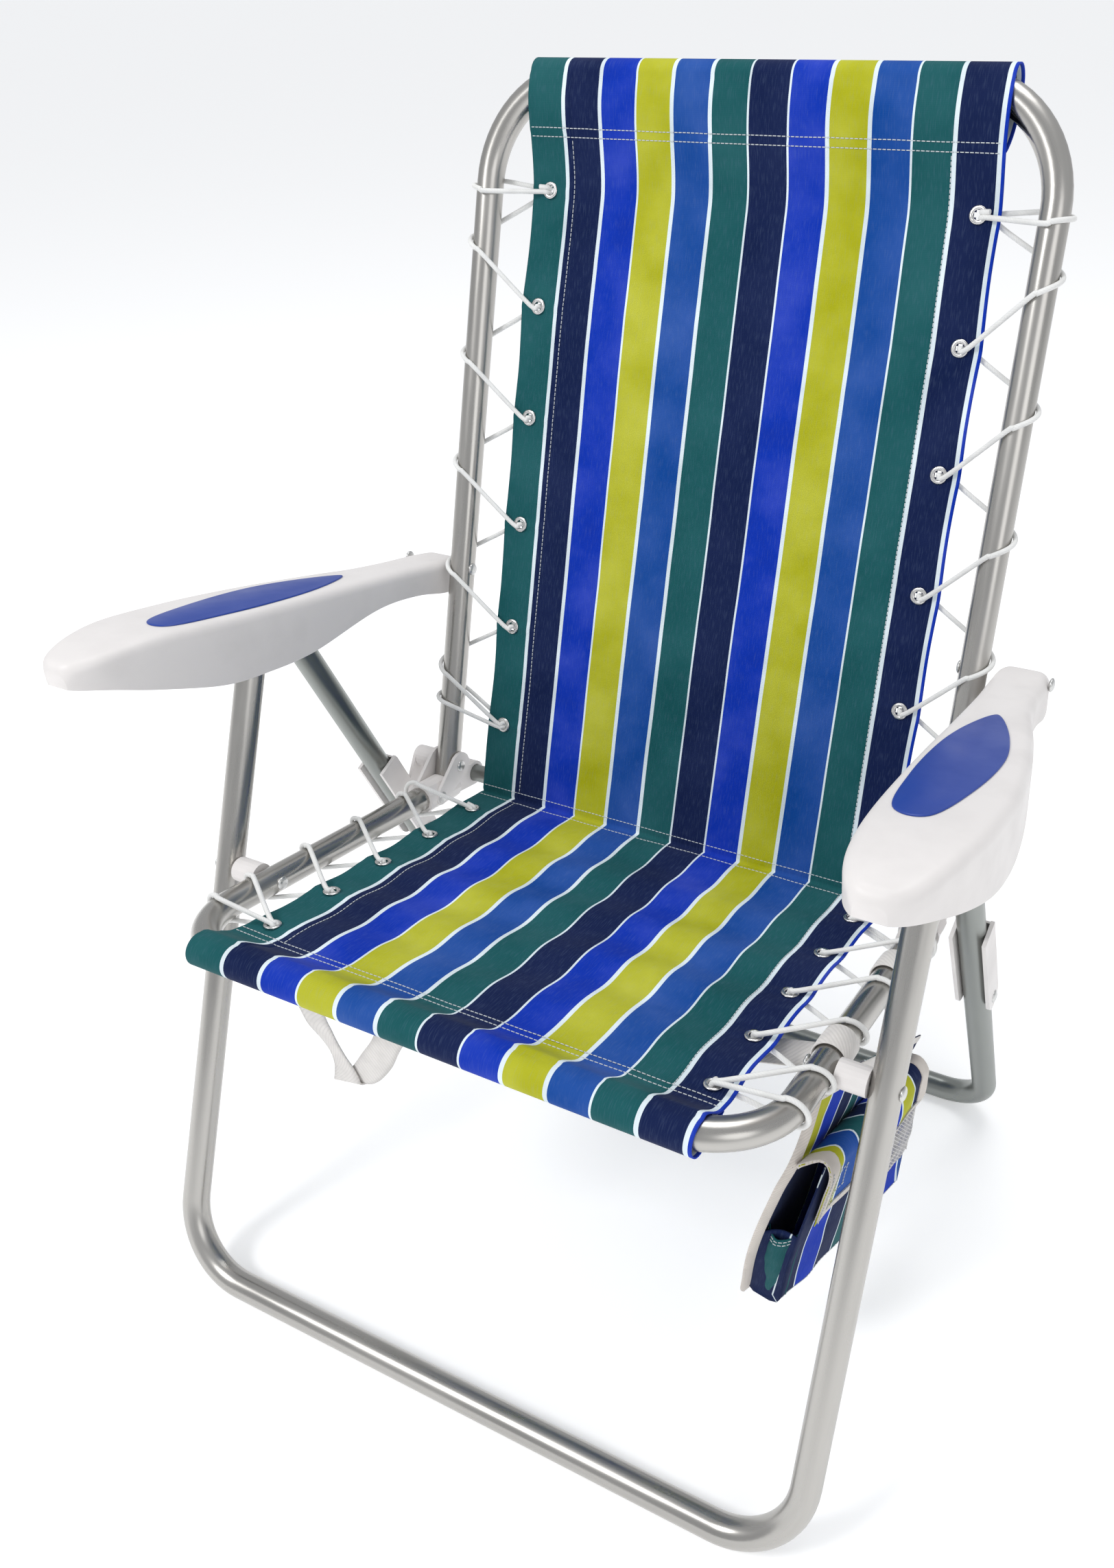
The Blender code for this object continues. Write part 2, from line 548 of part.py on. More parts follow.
def sling(name, place, bar_at, bar_n, hem, bend, eyes, normal):
    o = plate(name, sleeve_outline(place, bar_at, bar_n, hem, bend), -CLOTH_HALF, CLOTH_HALF, CLOTH)
    bm = bmesh.new()
    turn = Vector((0, 0, 1)).rotation_difference(normal).to_matrix().to_4x4()
    for t in eyes:
        for _, side in SIDES:
            spot = Matrix.Translation((side * EYE_X, *place(t, 0))) @ turn
            bmesh.ops.create_cone(bm, cap_ends=True, segments=12, radius1=EYE_R, radius2=EYE_R,
                                  depth=0.02, matrix=spot)
    mesh = bpy.data.meshes.new(f"{name}_eyes")
    bm.to_mesh(mesh)
    bm.free()
    return cut(o, add(f"{name}_eyes", mesh, STEEL, cutters))


def lace_route(eyes, pitch, tube_n, bar_at, bend, lean, first, last, last_r):
    """A lace in sling coordinates (out, n, t): up through an eyelet, over the tube and back behind it.

    It goes round twice from the first eyelet and from the last; first and last move those turns along.
    """
    way = math.copysign(1, pitch)
    near = TUBE_R + LACE_R + 0.0006

    def turn(middle, rise, radius):
        points = []
        for a in (math.radians(d) for d in range(-20, 201, 31)):
            t = middle + way * rise * (a / math.pi - 0.5)
            past = max(0.0, t - (bar_at - bend))      # how far this is into the tube's bend
            x = RAIL_X - bend + math.sqrt(bend * bend - past * past)
            points.append((x + radius * math.sin(a), tube_n + radius * math.cos(a), t))
        return points

    def through(t):
        return [(EYE_X + 0.0060, -0.0046, t), (EYE_X - 0.0010, -0.0022, t),
                (EYE_X - 0.0010, 0.0022, t), (EYE_X + 0.0060, 0.0050, t)]

    stops = [(eyes[0] - way * 0.0026, eyes[0] + first, 0.012, near)]
    stops += [(t + way * 0.0026 * (k == 0) - way * 0.0026 * (k == len(eyes) - 1),
               t + pitch * lean, abs(pitch) * 0.26, near) for k, t in enumerate(eyes)]
    stops[-1] = (stops[-1][0], eyes[-1] + last, 0.012, last_r)
    stops.append((eyes[-1] + way * 0.0026, None, None, None))
    route = []
    for k, (eye, middle, rise, radius) in enumerate(stops):
        route += through(eye)
        if middle is not None:
            route += turn(middle, rise, radius)
            route.append((CLOTH_HALF + 0.004, -0.0062, route[-1][2] * 0.35 + stops[k + 1][0] * 0.65))
    return route


def lace(name, side, route, place):
    return rod(name, [(side * out, *place(t, n)) for out, n, t in route], LACE_R, CORD, 1)


# ---------------------------------------------------------------- bag and strap
BAG_SLOTS = (0.2384, 0.1105)         # where its two straps hang, along the rail
BAG_TOP = [(0.2715, -0.262, 0.318), (0.2915, -0.262, 0.318), (0.3035, -0.098, 0.292), (0.2835, -0.098, 0.292)]
BAG_LOW = [(0.2150, -0.285, 0.092), (0.2500, -0.292, 0.100), (0.3020, -0.132, 0.078), (0.2680, -0.125, 0.078)]
BAG_WALL = 0.0022
FLAP_SET = 0.0042          # from the back panel to the flap's hinge line


def in_plane(p, a, b, c):
    """p moved along X onto the plane through a, b and c."""
    a, b, c, p = Vector(a), Vector(b), Vector(c), Vector(p)
    normal = (b - a).cross(c - a)
    return p.x - (p - a).dot(normal) / normal.x, p.y, p.z


BAG_LOW[2] = in_plane(BAG_LOW[2], BAG_TOP[1], BAG_TOP[2], BAG_LOW[1])
BAG_LOW[3] = in_plane(BAG_LOW[3], BAG_TOP[0], BAG_TOP[3], BAG_LOW[0])


def hexahedron(low, high, open_top):
    """A box from two rings of four corners."""
    bm = bmesh.new()
    a = [bm.verts.new((x, CREASE_Y + y, z)) for x, y, z in low]
    b = [bm.verts.new((x, CREASE_Y + y, z)) for x, y, z in high]
    bm.faces.new(a[::-1])
    if not open_top:
        bm.faces.new(b)
    for k in range(4):
        j = (k + 1) % 4
        bm.faces.new((a[k], a[j], b[j], b[k]))
    bmesh.ops.recalc_face_normals(bm, faces=bm.faces)
    return bm


def lerp(p, q, t):
    return tuple(a + (b - a) * t for a, b in zip(p, q))


def bag_pouch():
    """A soft box, open at the top."""
    bm = hexahedron(BAG_LOW, BAG_TOP, True)
    if sum(f.calc_area() * f.normal.dot(f.calc_center_median() - Vector((0.27, CREASE_Y - 0.19, 0.2)))
           for f in bm.faces) < 0:
        bmesh.ops.reverse_faces(bm, faces=bm.faces)
    mesh = bpy.data.meshes.new("bag_pouch")
    bm.to_mesh(mesh)
    bm.free()
    o = add("bag_pouch", mesh, CLOTH)
    wall = o.modifiers.new("wall", "SOLIDIFY")
    wall.thickness, wall.offset = BAG_WALL, -1
    return o


def flap_hinge():
    """The two ends of the flap's hinge line."""
    across = (Vector(BAG_TOP[3]) - Vector(BAG_TOP[0])).normalized()
    out = (Vector((1, 0, 0)) - across * across.x).normalized()
    shift = out * FLAP_SET + Vector((0, CREASE_Y, 0.0016))
    return Vector(BAG_TOP[0]) + shift, Vector(BAG_TOP[3]) + shift, out


def bag_flap():
    """Cover over the mouth and the upper outer face, hinged along the inner top edge."""
    front, rear, out = flap_hinge()
    over = 0.0016
    outer = [Vector(p) + Vector((0, CREASE_Y, over)) + out * over for p in (BAG_TOP[1], BAG_TOP[2])]
    fall = [Vector(lerp(BAG_TOP[k], BAG_LOW[k], 0.36)) + Vector((0, CREASE_Y, 0)) + out * over * 1.4
            for k in (1, 2)]
    bm = bmesh.new()
    rows = [[bm.verts.new(p) for p in pair] for pair in ((front, rear), outer, fall)]
    for a, b in zip(rows, rows[1:]):
        bm.faces.new((a[0], b[0], b[1], a[1]))
    bmesh.ops.recalc_face_normals(bm, faces=bm.faces)
    if bm.faces[:][0].normal.z < 0:
        bmesh.ops.reverse_faces(bm, faces=bm.faces)
    mesh = bpy.data.meshes.new("bag_flap")
    bm.to_mesh(mesh)
    bm.free()
    o = add("bag_flap", mesh, CLOTH)
    wall = o.modifiers.new("wall", "SOLIDIFY")
    wall.thickness, wall.offset = 0.0014, 1
    return o


def bag_patch(name, corners, thick):
    """A flat pocket on the outer face; corners are shares (along, down) of that face."""
    lift = 0.0006
    across = (Vector(BAG_TOP[2]) - Vector(BAG_TOP[1])).normalized()
    down = (Vector(BAG_LOW[1]) - Vector(BAG_TOP[1])).normalized()
    out = across.cross(down)
    if out.x < 0:
        out = -out
    low, high = [], []
    for u, v in corners:
        p = Vector(lerp(lerp(BAG_TOP[1], BAG_TOP[2], u), lerp(BAG_LOW[1], BAG_LOW[2], u), v))
        low.append(p + out * lift)
        high.append(p + out * (lift + thick))
    bm = hexahedron(low, high, False)
    mesh = bpy.data.meshes.new(name)
    bm.to_mesh(mesh)
    bm.free()
    return add(name, mesh, CLOTH)


def web_loop(name, s):
    """Webbing round the right rail and down to the bag."""
    inner = TUBE_R + 0.0007      # room for the tube's flats to turn
    outer = inner + WEB_T
    curve = bpy.data.curves.new(name, "CURVE")
    curve.dimensions, curve.fill_mode, curve.extrude = "2D", "BOTH", WEB_W / 2
    drop = 0.030
    tail = [(-0.0008, -drop), (-0.0030, -drop)]
    for outline in ([(outer * math.sin(a), outer * math.cos(a)) for a in
                     (math.radians(d) for d in range(-165, 166, 22))] + tail,
                    [(inner * math.sin(a), inner * math.cos(a)) for a in
                     (math.radians(d) for d in range(0, 360, 20))]):
        spline = curve.splines.new("POLY")
        spline.points.add(len(outline) - 1)
        for p, (x, n) in zip(spline.points, outline):
            p.co = (x, n, 0, 1)
        spline.use_cyclic_u = True
    o = add(name, curve, WEBBING)
    o.rotation_euler = (math.pi / 2 - SEAT_TILT, 0, 0)
    o.location = (RAIL_X, *seat_at(s))
    return as_mesh(o)


STRAP_ROUTE = [(-0.2050, -0.3330, 0.3560), (-0.2000, -0.3340, 0.3300), (-0.1900, -0.3340, 0.2950),
               (-0.1760, -0.3340, 0.2640), (-0.1620, -0.3330, 0.2440), (-0.1500, -0.3320, 0.2390),
               (-0.1380, -0.3310, 0.2450), (-0.1200, -0.3300, 0.2680), (-0.1000, -0.3280, 0.2980),
               (-0.0800, -0.3250, 0.3230), (-0.0500, -0.3200, 0.3420), (0.0000, -0.3050, 0.3500),
               (0.0600, -0.2850, 0.3480), (0.1200, -0.2650, 0.3460), (0.1800, -0.2450, 0.3460),
               (0.2300, -0.2320, 0.3480), (0.2580, -0.2260, 0.3500)]


def smooth_route(points, spacing):
    """Points at an even spacing on a smooth curve through points."""
    ends = [Vector(points[0]) * 2 - Vector(points[1])] + [Vector(p) for p in points]
    ends.append(Vector(points[-1]) * 2 - Vector(points[-2]))
    fine = []
    for a, b, c, d in zip(ends, ends[1:], ends[2:], ends[3:]):
        for j in range(12):
            t = j / 12
            fine.append(0.5 * (2 * b + (c - a) * t + (2 * a - 5 * b + 4 * c - d) * t * t
                               + (3 * b - a - 3 * c + d) * t ** 3))
    fine.append(Vector(points[-1]))
    kept, walked = [fine[0]], 0.0
    for p, q in zip(fine, fine[1:]):
        walked += (q - p).length
        if walked >= spacing:
            kept.append(q)
            walked = 0.0
    return kept


def carry_strap():
    """Flat webbing hung under the seat's front, across to the right rail."""
    line = smooth_route([(x, CREASE_Y + y, z) for x, y, z in STRAP_ROUTE], 0.014)
    bm = bmesh.new()
    rows = []
    for p in line:
        rows.append([bm.verts.new(p + Vector((0, w * WEB_W / 2, 0))) for w in (-1, 1)])
    for a, b in zip(rows, rows[1:]):
        bm.faces.new((a[0], b[0], b[1], a[1]))
    mesh = bpy.data.meshes.new("carry_strap")
    bm.to_mesh(mesh)
    bm.free()
    o = add("carry_strap", mesh, WEBBING)
    wall = o.modifiers.new("wall", "SOLIDIFY")
    wall.thickness, wall.offset = WEB_T, 0
    return o


# ---------------------------------------------------------------- build
seat_frame()
back_frame()
front_leg_frame()
rear_leg_frame()
cylinder_x("rear_cross_bar", CROSS_BAR, -RAIL_X - 0.0085, RAIL_X + 0.0085, CROSS_BAR_R, ALUMINIUM)
leg_gap = (RAIL_X + TUBE_R + GAP, LEG_X - TUBE_R - GAP)
hinge_gap = (EAR_OUTER + PLATE + GAP, CLEVIS_INNER - PLATE - GAP)
for label, side in SIDES:
    hinge_bracket(f"hinge_bracket_{label}", side)
    rear_leg_clevis(f"rear_leg_clevis_{label}", side)
    spacer(f"front_leg_spacer_{label}", side, SEAT_PIVOT, *leg_gap)
    spacer(f"hinge_spacer_{label}", side, BACK_PIVOT, *hinge_gap)
    rivet(f"seat_leg_rivet_{label}", SEAT_PIVOT, side * (RAIL_X - TUBE_R - GAP),
          side * (LEG_X + TUBE_R + GAP))
    rivet(f"back_hinge_rivet_{label}", BACK_PIVOT, side * (EAR_INNER - PLATE - GAP),
          side * (CLEVIS_INNER + GAP))
    rivet(f"bracket_rivet_{label}", BRACKET_RIVET, side * (EAR_INNER - PLATE - GAP),
          side * (EAR_OUTER + PLATE + GAP))
    rivet(f"rear_leg_rivet_{label}", REAR_HINGE, side * (CLEVIS_INNER - PLATE - GAP),
          side * (CLEVIS_OUTER + PLATE + GAP))
    rivet(f"arm_rivet_{label}", ARM_PIVOT, side * (RAIL_X - TUBE_R - GAP), side * 0.3446)
    arm(f"arm_{label}", side)
    inlay(f"arm_inlay_{label}", side)
    leg_top_lug(f"leg_top_lug_{label}", side)
    cylinder_x(f"arm_pin_{label}", ARM_FRONT_PIVOT, side * 0.3052, side * 0.3830, RIVET_R, STEEL)
    rear_leg_tip(f"rear_leg_tip_{label}", side)
    recline_rack(f"recline_rack_{label}", side)

back_eyes = [BACK_EYE_T0 + k * BACK_PITCH for k in range(BACK_EYES)]
seat_eyes = [SEAT_EYE_S0 + k * SEAT_PITCH for k in range(SEAT_EYES)]
sling("sling_back", back_at, BACK_LENGTH, POST_FORWARD, BACK_HEM, TOP_BEND, back_eyes,
      Vector((0, -COSB, SINB)))
sling("sling_seat", seat_at, SEAT_LENGTH, 0.0, SEAT_HEM, SEAT_BEND, seat_eyes, Vector((0, SINS, COSS)))
back_route = lace_route(back_eyes, BACK_PITCH, POST_FORWARD, BACK_LENGTH, TOP_BEND, 0.56, 0.021, 0.0,
                        TUBE_R + LACE_R + 0.0006)
seat_route = lace_route(seat_eyes[::-1], -SEAT_PITCH, 0.0, SEAT_LENGTH, SEAT_BEND, 0.65, 0.0, 0.0060,
                        TUBE_R + PLATE + LACE_R + 0.0016)
for label, side in SIDES:
    lace(f"back_lace_{label}", side, back_route, back_at)
    lace(f"seat_lace_{label}", side, seat_route, seat_at)

bag_pouch()
bag_flap()
bag_patch("bag_teal_pocket", ((0.02, 0.97), (0.34, 0.97), (0.34, 0.45), (0.02, 0.45)), 0.004)
bag_patch("bag_net_pocket", ((0.62, 0.90), (0.98, 0.90), (0.98, 0.42), (0.62, 0.42)), 0.004)
for k, s in enumerate(BAG_SLOTS):
    web_loop(f"bag_strap_{('front', 'rear')[k]}", s)
carry_strap()
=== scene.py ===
import math

import bmesh
import bpy
from mathutils import Matrix, Vector, noise


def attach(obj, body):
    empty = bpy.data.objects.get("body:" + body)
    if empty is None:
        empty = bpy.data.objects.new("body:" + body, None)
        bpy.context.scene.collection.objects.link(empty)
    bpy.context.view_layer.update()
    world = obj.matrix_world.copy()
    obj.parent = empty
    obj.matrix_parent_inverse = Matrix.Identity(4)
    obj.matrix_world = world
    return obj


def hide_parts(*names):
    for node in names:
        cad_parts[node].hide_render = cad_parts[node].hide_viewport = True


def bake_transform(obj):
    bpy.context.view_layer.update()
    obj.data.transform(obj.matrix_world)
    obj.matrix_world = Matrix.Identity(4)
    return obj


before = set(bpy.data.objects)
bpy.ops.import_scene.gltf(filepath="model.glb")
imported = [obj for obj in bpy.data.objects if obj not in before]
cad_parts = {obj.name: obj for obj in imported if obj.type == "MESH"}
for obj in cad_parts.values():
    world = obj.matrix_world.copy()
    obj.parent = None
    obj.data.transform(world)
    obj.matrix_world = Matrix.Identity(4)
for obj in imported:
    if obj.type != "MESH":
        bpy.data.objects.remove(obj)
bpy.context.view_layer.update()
print("frame loaded")

# sizes shared by the pieces, in metres; the side view is laid out from the crease of seat and back
chair = {
    "creaseY": 0.0951, "creaseZ": 0.3212,
    "recline": math.radians(21.5), "seatTilt": math.radians(12.1),
    "legLean": math.radians(26.8), "rearLean": math.radians(19.7),
    "tubeR": 0.0127, "railX": 0.276, "legX": 0.328,
    "backLength": 0.706, "seatLength": 0.381, "postForward": 0.0085,
    "clothHalf": 0.2335, "eyeX": 0.2139,
    "backPitch": 0.1058, "seatPitch": 0.0696,      # from eyelet to eyelet
    "backPivot": 0.0239, "armPivot": 0.2365, "legPivot": 0.2640, "bracketRivet": 0.037,   # along post or rail
    "frontBar": 0.4425, "rearHinge": (0.0118, 0.257), "rearTop": 0.545,
    "seatBend": 0.070, "backBend": 0.095, "frontLegBend": 0.070, "rearLegBend": 0.050,
}
chair["backEyes"] = [0.0787 + chair["backPitch"] * k for k in range(6)]
chair["seatEyes"] = [0.0455 + chair["seatPitch"] * k for k in range(5)]


def backAt(t, n=0.0):
    sin, cos = math.sin(chair["recline"]), math.cos(chair["recline"])
    return chair["creaseY"] + t * sin - n * cos, chair["creaseZ"] + t * cos + n * sin


def seatAt(s, n=0.0):
    sin, cos = math.sin(chair["seatTilt"]), math.cos(chair["seatTilt"])
    return chair["creaseY"] - s * cos + n * sin, chair["creaseZ"] + s * sin + n * cos


def along(start, lean, length):
    return start[0] + length * math.sin(lean), start[1] + length * math.cos(lean)


backPivot = backAt(chair["backPivot"], chair["postForward"])
armPivot = backAt(chair["armPivot"], chair["postForward"])
frontFloor = (chair["creaseY"] - chair["frontBar"], chair["tubeR"])
seatPivotY = seatAt(chair["legPivot"])[0]
seatPivot = (seatPivotY, (seatPivotY - frontFloor[0]) / math.tan(chair["legLean"]) + chair["tubeR"])
armFrontPivot = (seatPivot[0] + armPivot[0] - backPivot[0], seatPivot[1] + armPivot[1] - backPivot[1])
rearHinge = (chair["creaseY"] - chair["rearHinge"][0], chair["rearHinge"][1])
rearCos = math.cos(chair["rearLean"])
rearFloor = along(rearHinge, -chair["rearLean"], (chair["tubeR"] - rearHinge[1]) / rearCos)
rearTop = along(rearHinge, -chair["rearLean"], (chair["rearTop"] - rearHinge[1]) / rearCos)
bracketRivet = seatAt(chair["bracketRivet"])
sides = (("left", -1), ("right", 1))


# materials
def linear(r, g, b):
    def channel(c):
        c /= 255
        return c / 12.92 if c <= 0.04045 else ((c + 0.055) / 1.055) ** 2.4
    return channel(r), channel(g), channel(b), 1.0


def newMaterial(name, roughness=0.5, metallic=0.0, colour=(0.8, 0.8, 0.8, 1.0)):
    made = bpy.data.materials.new(name)
    made.use_nodes = True
    shader = made.node_tree.nodes["Principled BSDF"]
    shader.inputs["Base Color"].default_value = colour
    shader.inputs["Roughness"].default_value = roughness
    shader.inputs["Metallic"].default_value = metallic
    return made, made.node_tree, shader


def addNode(tree, kind, inputs=(), **settings):
    made = tree.nodes.new(kind)
    for key, value in settings.items():
        setattr(made, key, value)
    for key, value in dict(inputs).items():
        if isinstance(value, bpy.types.NodeSocket):
            tree.links.new(value, made.inputs[key])
        else:
            made.inputs[key].default_value = value
    return made


def mapped(tree, scale, source="Object"):
    coords = addNode(tree, "ShaderNodeTexCoord")
    return addNode(tree, "ShaderNodeMapping", {"Vector": coords.outputs[source], "Scale": scale}).outputs[0]


def spread(tree, value, low, high, fromLow=0.0, fromHigh=1.0):
    return addNode(tree, "ShaderNodeMapRange", {"Value": value, "From Min": fromLow, "From Max": fromHigh,
                                                "To Min": low, "To Max": high}).outputs[0]


def bump(tree, shader, height, strength, distance):
    made = addNode(tree, "ShaderNodeBump", {"Height": height, "Strength": strength, "Distance": distance})
    tree.links.new(made.outputs[0], shader.inputs["Normal"])


def mixColour(tree, factor, a, b, kind="MIX"):
    made = addNode(tree, "ShaderNodeMix", data_type="RGBA", blend_type=kind)
    for index, value in ((0, factor), (6, a), (7, b)):
        if isinstance(value, bpy.types.NodeSocket):
            tree.links.new(value, made.inputs[index])
        else:
            made.inputs[index].default_value = value
    return made.outputs[2]


def mottle(tree, scale, detail, stretch=(1, 1, 1), source="Object", **more):
    return addNode(tree, "ShaderNodeTexNoise", {"Vector": mapped(tree, stretch, source), "Scale": scale,
                                                "Detail": detail, **more}).outputs[0]


def ribs(tree, scale, distortion, way):
    return addNode(tree, "ShaderNodeTexWave", {"Vector": mapped(tree, (1, 1, 1), "UV"), "Scale": scale,
                                               "Distortion": distortion, "Detail": 1.0},
                   bands_direction=way).outputs[1]


def darker(colour, share):
    return tuple(c * share for c in colour[:3]) + (1.0,)


def satinAluminium(name, tint, roughness):
    made, tree, shader = newMaterial(name, roughness, 1.0)
    streaks = mottle(tree, 1.0, 4.0, (4, 42, 1), "UV", Roughness=0.6)
    cloudy = mottle(tree, 16.0, 3.0)
    colour = mixColour(tree, spread(tree, streaks, 0.0, 1.0, 0.3, 0.7), darker(tint, 0.80), tint)
    colour = mixColour(tree, spread(tree, cloudy, 0.0, 0.35, 0.35, 0.75), colour, darker(tint, 0.88))
    tree.links.new(colour, shader.inputs["Base Color"])
    tree.links.new(spread(tree, streaks, roughness - 0.08, roughness + 0.10, 0.3, 0.7), shader.inputs["Roughness"])
    bump(tree, shader, streaks, 0.10, 0.0002)
    return made


def mouldedPlastic(name, colour, roughness):
    made, tree, shader = newMaterial(name, roughness, 0.0, colour)
    shader.inputs["IOR"].default_value = 1.46
    grain, dust = mottle(tree, 900.0, 2.0), mottle(tree, 22.0, 5.0)
    tree.links.new(mixColour(tree, spread(tree, dust, 0.0, 0.6, 0.45, 0.8), colour, darker(colour, 0.86)),
                   shader.inputs["Base Color"])
    tree.links.new(spread(tree, dust, roughness - 0.05, roughness + 0.12, 0.3, 0.7), shader.inputs["Roughness"])
    bump(tree, shader, grain, 0.12, 0.0002)
    return made


clothColours = {
    "teal": linear(22, 86, 90), "navy": linear(10, 28, 72), "royal": linear(2, 50, 174),
    "yellow": linear(178, 180, 40), "blue": linear(26, 76, 156), "white": linear(220, 232, 238),
}
slingStripes = {
    "order": "teal navy royal yellow blue teal navy royal yellow blue teal navy royal".split(),
    "width": 0.0384, "line": 0.0031, "start": -0.2335,
}
bagStripes = {
    "order": "navy navy royal navy teal yellow navy royal blue teal navy royal yellow royal navy".split(),
    "width": 0.0260, "line": 0.0022, "start": 0.0,
}
flapStripes = {"order": "yellow blue teal navy royal yellow navy".split(), "width": 0.0262, "line": 0.0022,
               "start": -0.0020}
yokeStripes = {"order": "yellow royal navy teal blue yellow royal navy".split(), "width": 0.0230, "line": 0.0022,
               "start": 0.0}


def stripedCloth(name, stripes):
    made, tree, shader = newMaterial(name, 0.82)
    coords = addNode(tree, "ShaderNodeTexCoord")
    apart = addNode(tree, "ShaderNodeSeparateXYZ", {"Vector": coords.outputs["UV"]})
    span = stripes["width"] * len(stripes["order"])
    position = spread(tree, apart.outputs[0], 0.0, 1.0, stripes["start"], stripes["start"] + span)
    ramp = addNode(tree, "ShaderNodeValToRGB", {"Fac": position})
    ramp.color_ramp.interpolation = "CONSTANT"
    elements = ramp.color_ramp.elements
    elements[0].color = clothColours[stripes["order"][0]]
    elements.remove(elements[1])
    for k, colour in enumerate(stripes["order"][1:], start=1):
        edge = k * stripes["width"]
        elements.new((edge - stripes["line"] / 2) / span).color = clothColours["white"]
        elements.new((edge + stripes["line"] / 2) / span).color = clothColours[colour]
    worn = mottle(tree, 14.0, 6.0, source="UV")
    threads = mottle(tree, 1.0, 2.0, (900, 90, 1), "UV")
    shade = addNode(tree, "ShaderNodeHueSaturation", {"Color": ramp.outputs[0]})
    tree.links.new(spread(tree, worn, 0.80, 1.12, 0.3, 0.7), shade.inputs["Value"])
    tree.links.new(spread(tree, worn, 1.04, 0.94, 0.3, 0.7), shade.inputs["Saturation"])
    speckle = mixColour(tree, spread(tree, threads, 0.0, 0.09, 0.50, 0.75), shade.outputs[0], linear(120, 140, 170))
    tree.links.new(speckle, shader.inputs["Base Color"])
    shader.inputs["Sheen Weight"].default_value = 0.03
    shader.inputs["Sheen Roughness"].default_value = 0.5
    shader.inputs["Specular IOR Level"].default_value = 0.14
    weave = addNode(tree, "ShaderNodeMath", {0: ribs(tree, 210.0, 0.6, "X"), 1: ribs(tree, 210.0, 0.6, "Y")},
                    operation="MULTIPLY")
    bump(tree, shader, weave.outputs[0], 0.25, 0.0003)
    return made


def wovenBand(name, colour, period, strength, grooveShade=0.62):
    made, tree, shader = newMaterial(name, 0.85, 0.0, colour)
    twill = ribs(tree, 0.314 / period, 0.4, "DIAGONAL")      # one rib for each period, in metres
    worn = mottle(tree, 60.0, 4.0)
    base = mixColour(tree, spread(tree, worn, 0.0, 0.7, 0.45, 0.75), colour, darker(colour, 0.80))
    # painted shade: the grooves between the twill's ribs, low in the bump, are coloured darker
    tree.links.new(mixColour(tree, spread(tree, twill, 0.55, 0.0, 0.0, 0.5), base, darker(colour, grooveShade)),
                   shader.inputs["Base Color"])
    shader.inputs["Sheen Weight"].default_value = 0.25
    bump(tree, shader, twill, strength, 0.0005)
    return made


def platedSteel(name, tint, roughness):
    made, tree, shader = newMaterial(name, roughness, 1.0, tint)
    marks = mottle(tree, 420.0, 3.0)
    tree.links.new(spread(tree, marks, roughness - 0.08, roughness + 0.15, 0.3, 0.7), shader.inputs["Roughness"])
    bump(tree, shader, marks, 0.08, 0.0002)
    return made


frontAluminium = satinAluminium("satinAluminium", (0.50, 0.485, 0.46, 1.0), 0.27)
# the rear legs and cross bar take a darker copy of the same aluminium, with their shade painted into its colour
paintedShadeAluminium = satinAluminium("shadedAluminium", (0.30, 0.315, 0.30, 1.0), 0.33)
whitePlastic = mouldedPlastic("whitePlastic", linear(226, 222, 220), 0.42)
bluePlastic = mouldedPlastic("bluePlastic", linear(28, 62, 150), 0.34)
slingCloth = stripedCloth("slingCloth", slingStripes)
bagCloth = stripedCloth("bagCloth", bagStripes)
flapCloth = stripedCloth("flapCloth", flapStripes)
yokeCloth = stripedCloth("yokeCloth", yokeStripes)
tealCloth = stripedCloth("tealCloth", {"order": ["teal", "teal"], "width": 0.06, "line": 0.0001, "start": -0.06})
laceCord = wovenBand("laceCord", linear(230, 230, 228), 0.0014, 0.10, 0.88)
webbing = wovenBand("webbing", linear(220, 216, 212), 0.0022, 0.30, 0.80)
binding = wovenBand("binding", linear(212, 204, 196), 0.0018, 0.35, 0.76)
stitchThread = wovenBand("stitchThread", linear(222, 228, 232), 0.0012, 0.2)
chromeRing = platedSteel("eyeletChrome", (0.66, 0.65, 0.64, 1.0), 0.22)
rivetSteel = platedSteel("rivetSteel", (0.60, 0.60, 0.59, 1.0), 0.30)
netCord = wovenBand("netCord", linear(226, 224, 222), 0.0016, 0.2)
print("materials made")


# mesh helpers
def addObject(name, mesh, *materials):
    made = bpy.data.objects.new(name, mesh)
    bpy.context.scene.collection.objects.link(made)
    for m in materials:
        mesh.materials.append(m)
    return made


def meshFrom(name, points, faces, uvs=None):
    mesh = bpy.data.meshes.new(name)
    mesh.from_pydata([tuple(p) for p in points], [], faces)
    if uvs is not None:
        layer = mesh.uv_layers.new(name="cloth")
        for loop in mesh.loops:
            layer.data[loop.index].uv = uvs[loop.vertex_index]
    mesh.update()
    mesh.shade_smooth()
    return mesh


def settle(made):
    # modifiers become the mesh
    mesh = bpy.data.meshes.new_from_object(made.evaluated_get(bpy.context.evaluated_depsgraph_get()))
    made.modifiers.clear()
    made.data = mesh
    return made


def thicken(made, thickness, offset=0.0):
    wall = made.modifiers.new("wall", "SOLIDIFY")
    wall.thickness, wall.offset = thickness, offset
    return settle(made)


def pieceOn(made, body, slot, *nodes):
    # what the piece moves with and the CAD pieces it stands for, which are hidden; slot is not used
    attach(made, body)
    if nodes:
        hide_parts(*nodes)
    return made


def gridFaces(rows, wide):
    return [(k * wide + j, k * wide + j + 1, (k + 1) * wide + j + 1, (k + 1) * wide + j)
            for k in range(rows - 1) for j in range(wide - 1)]


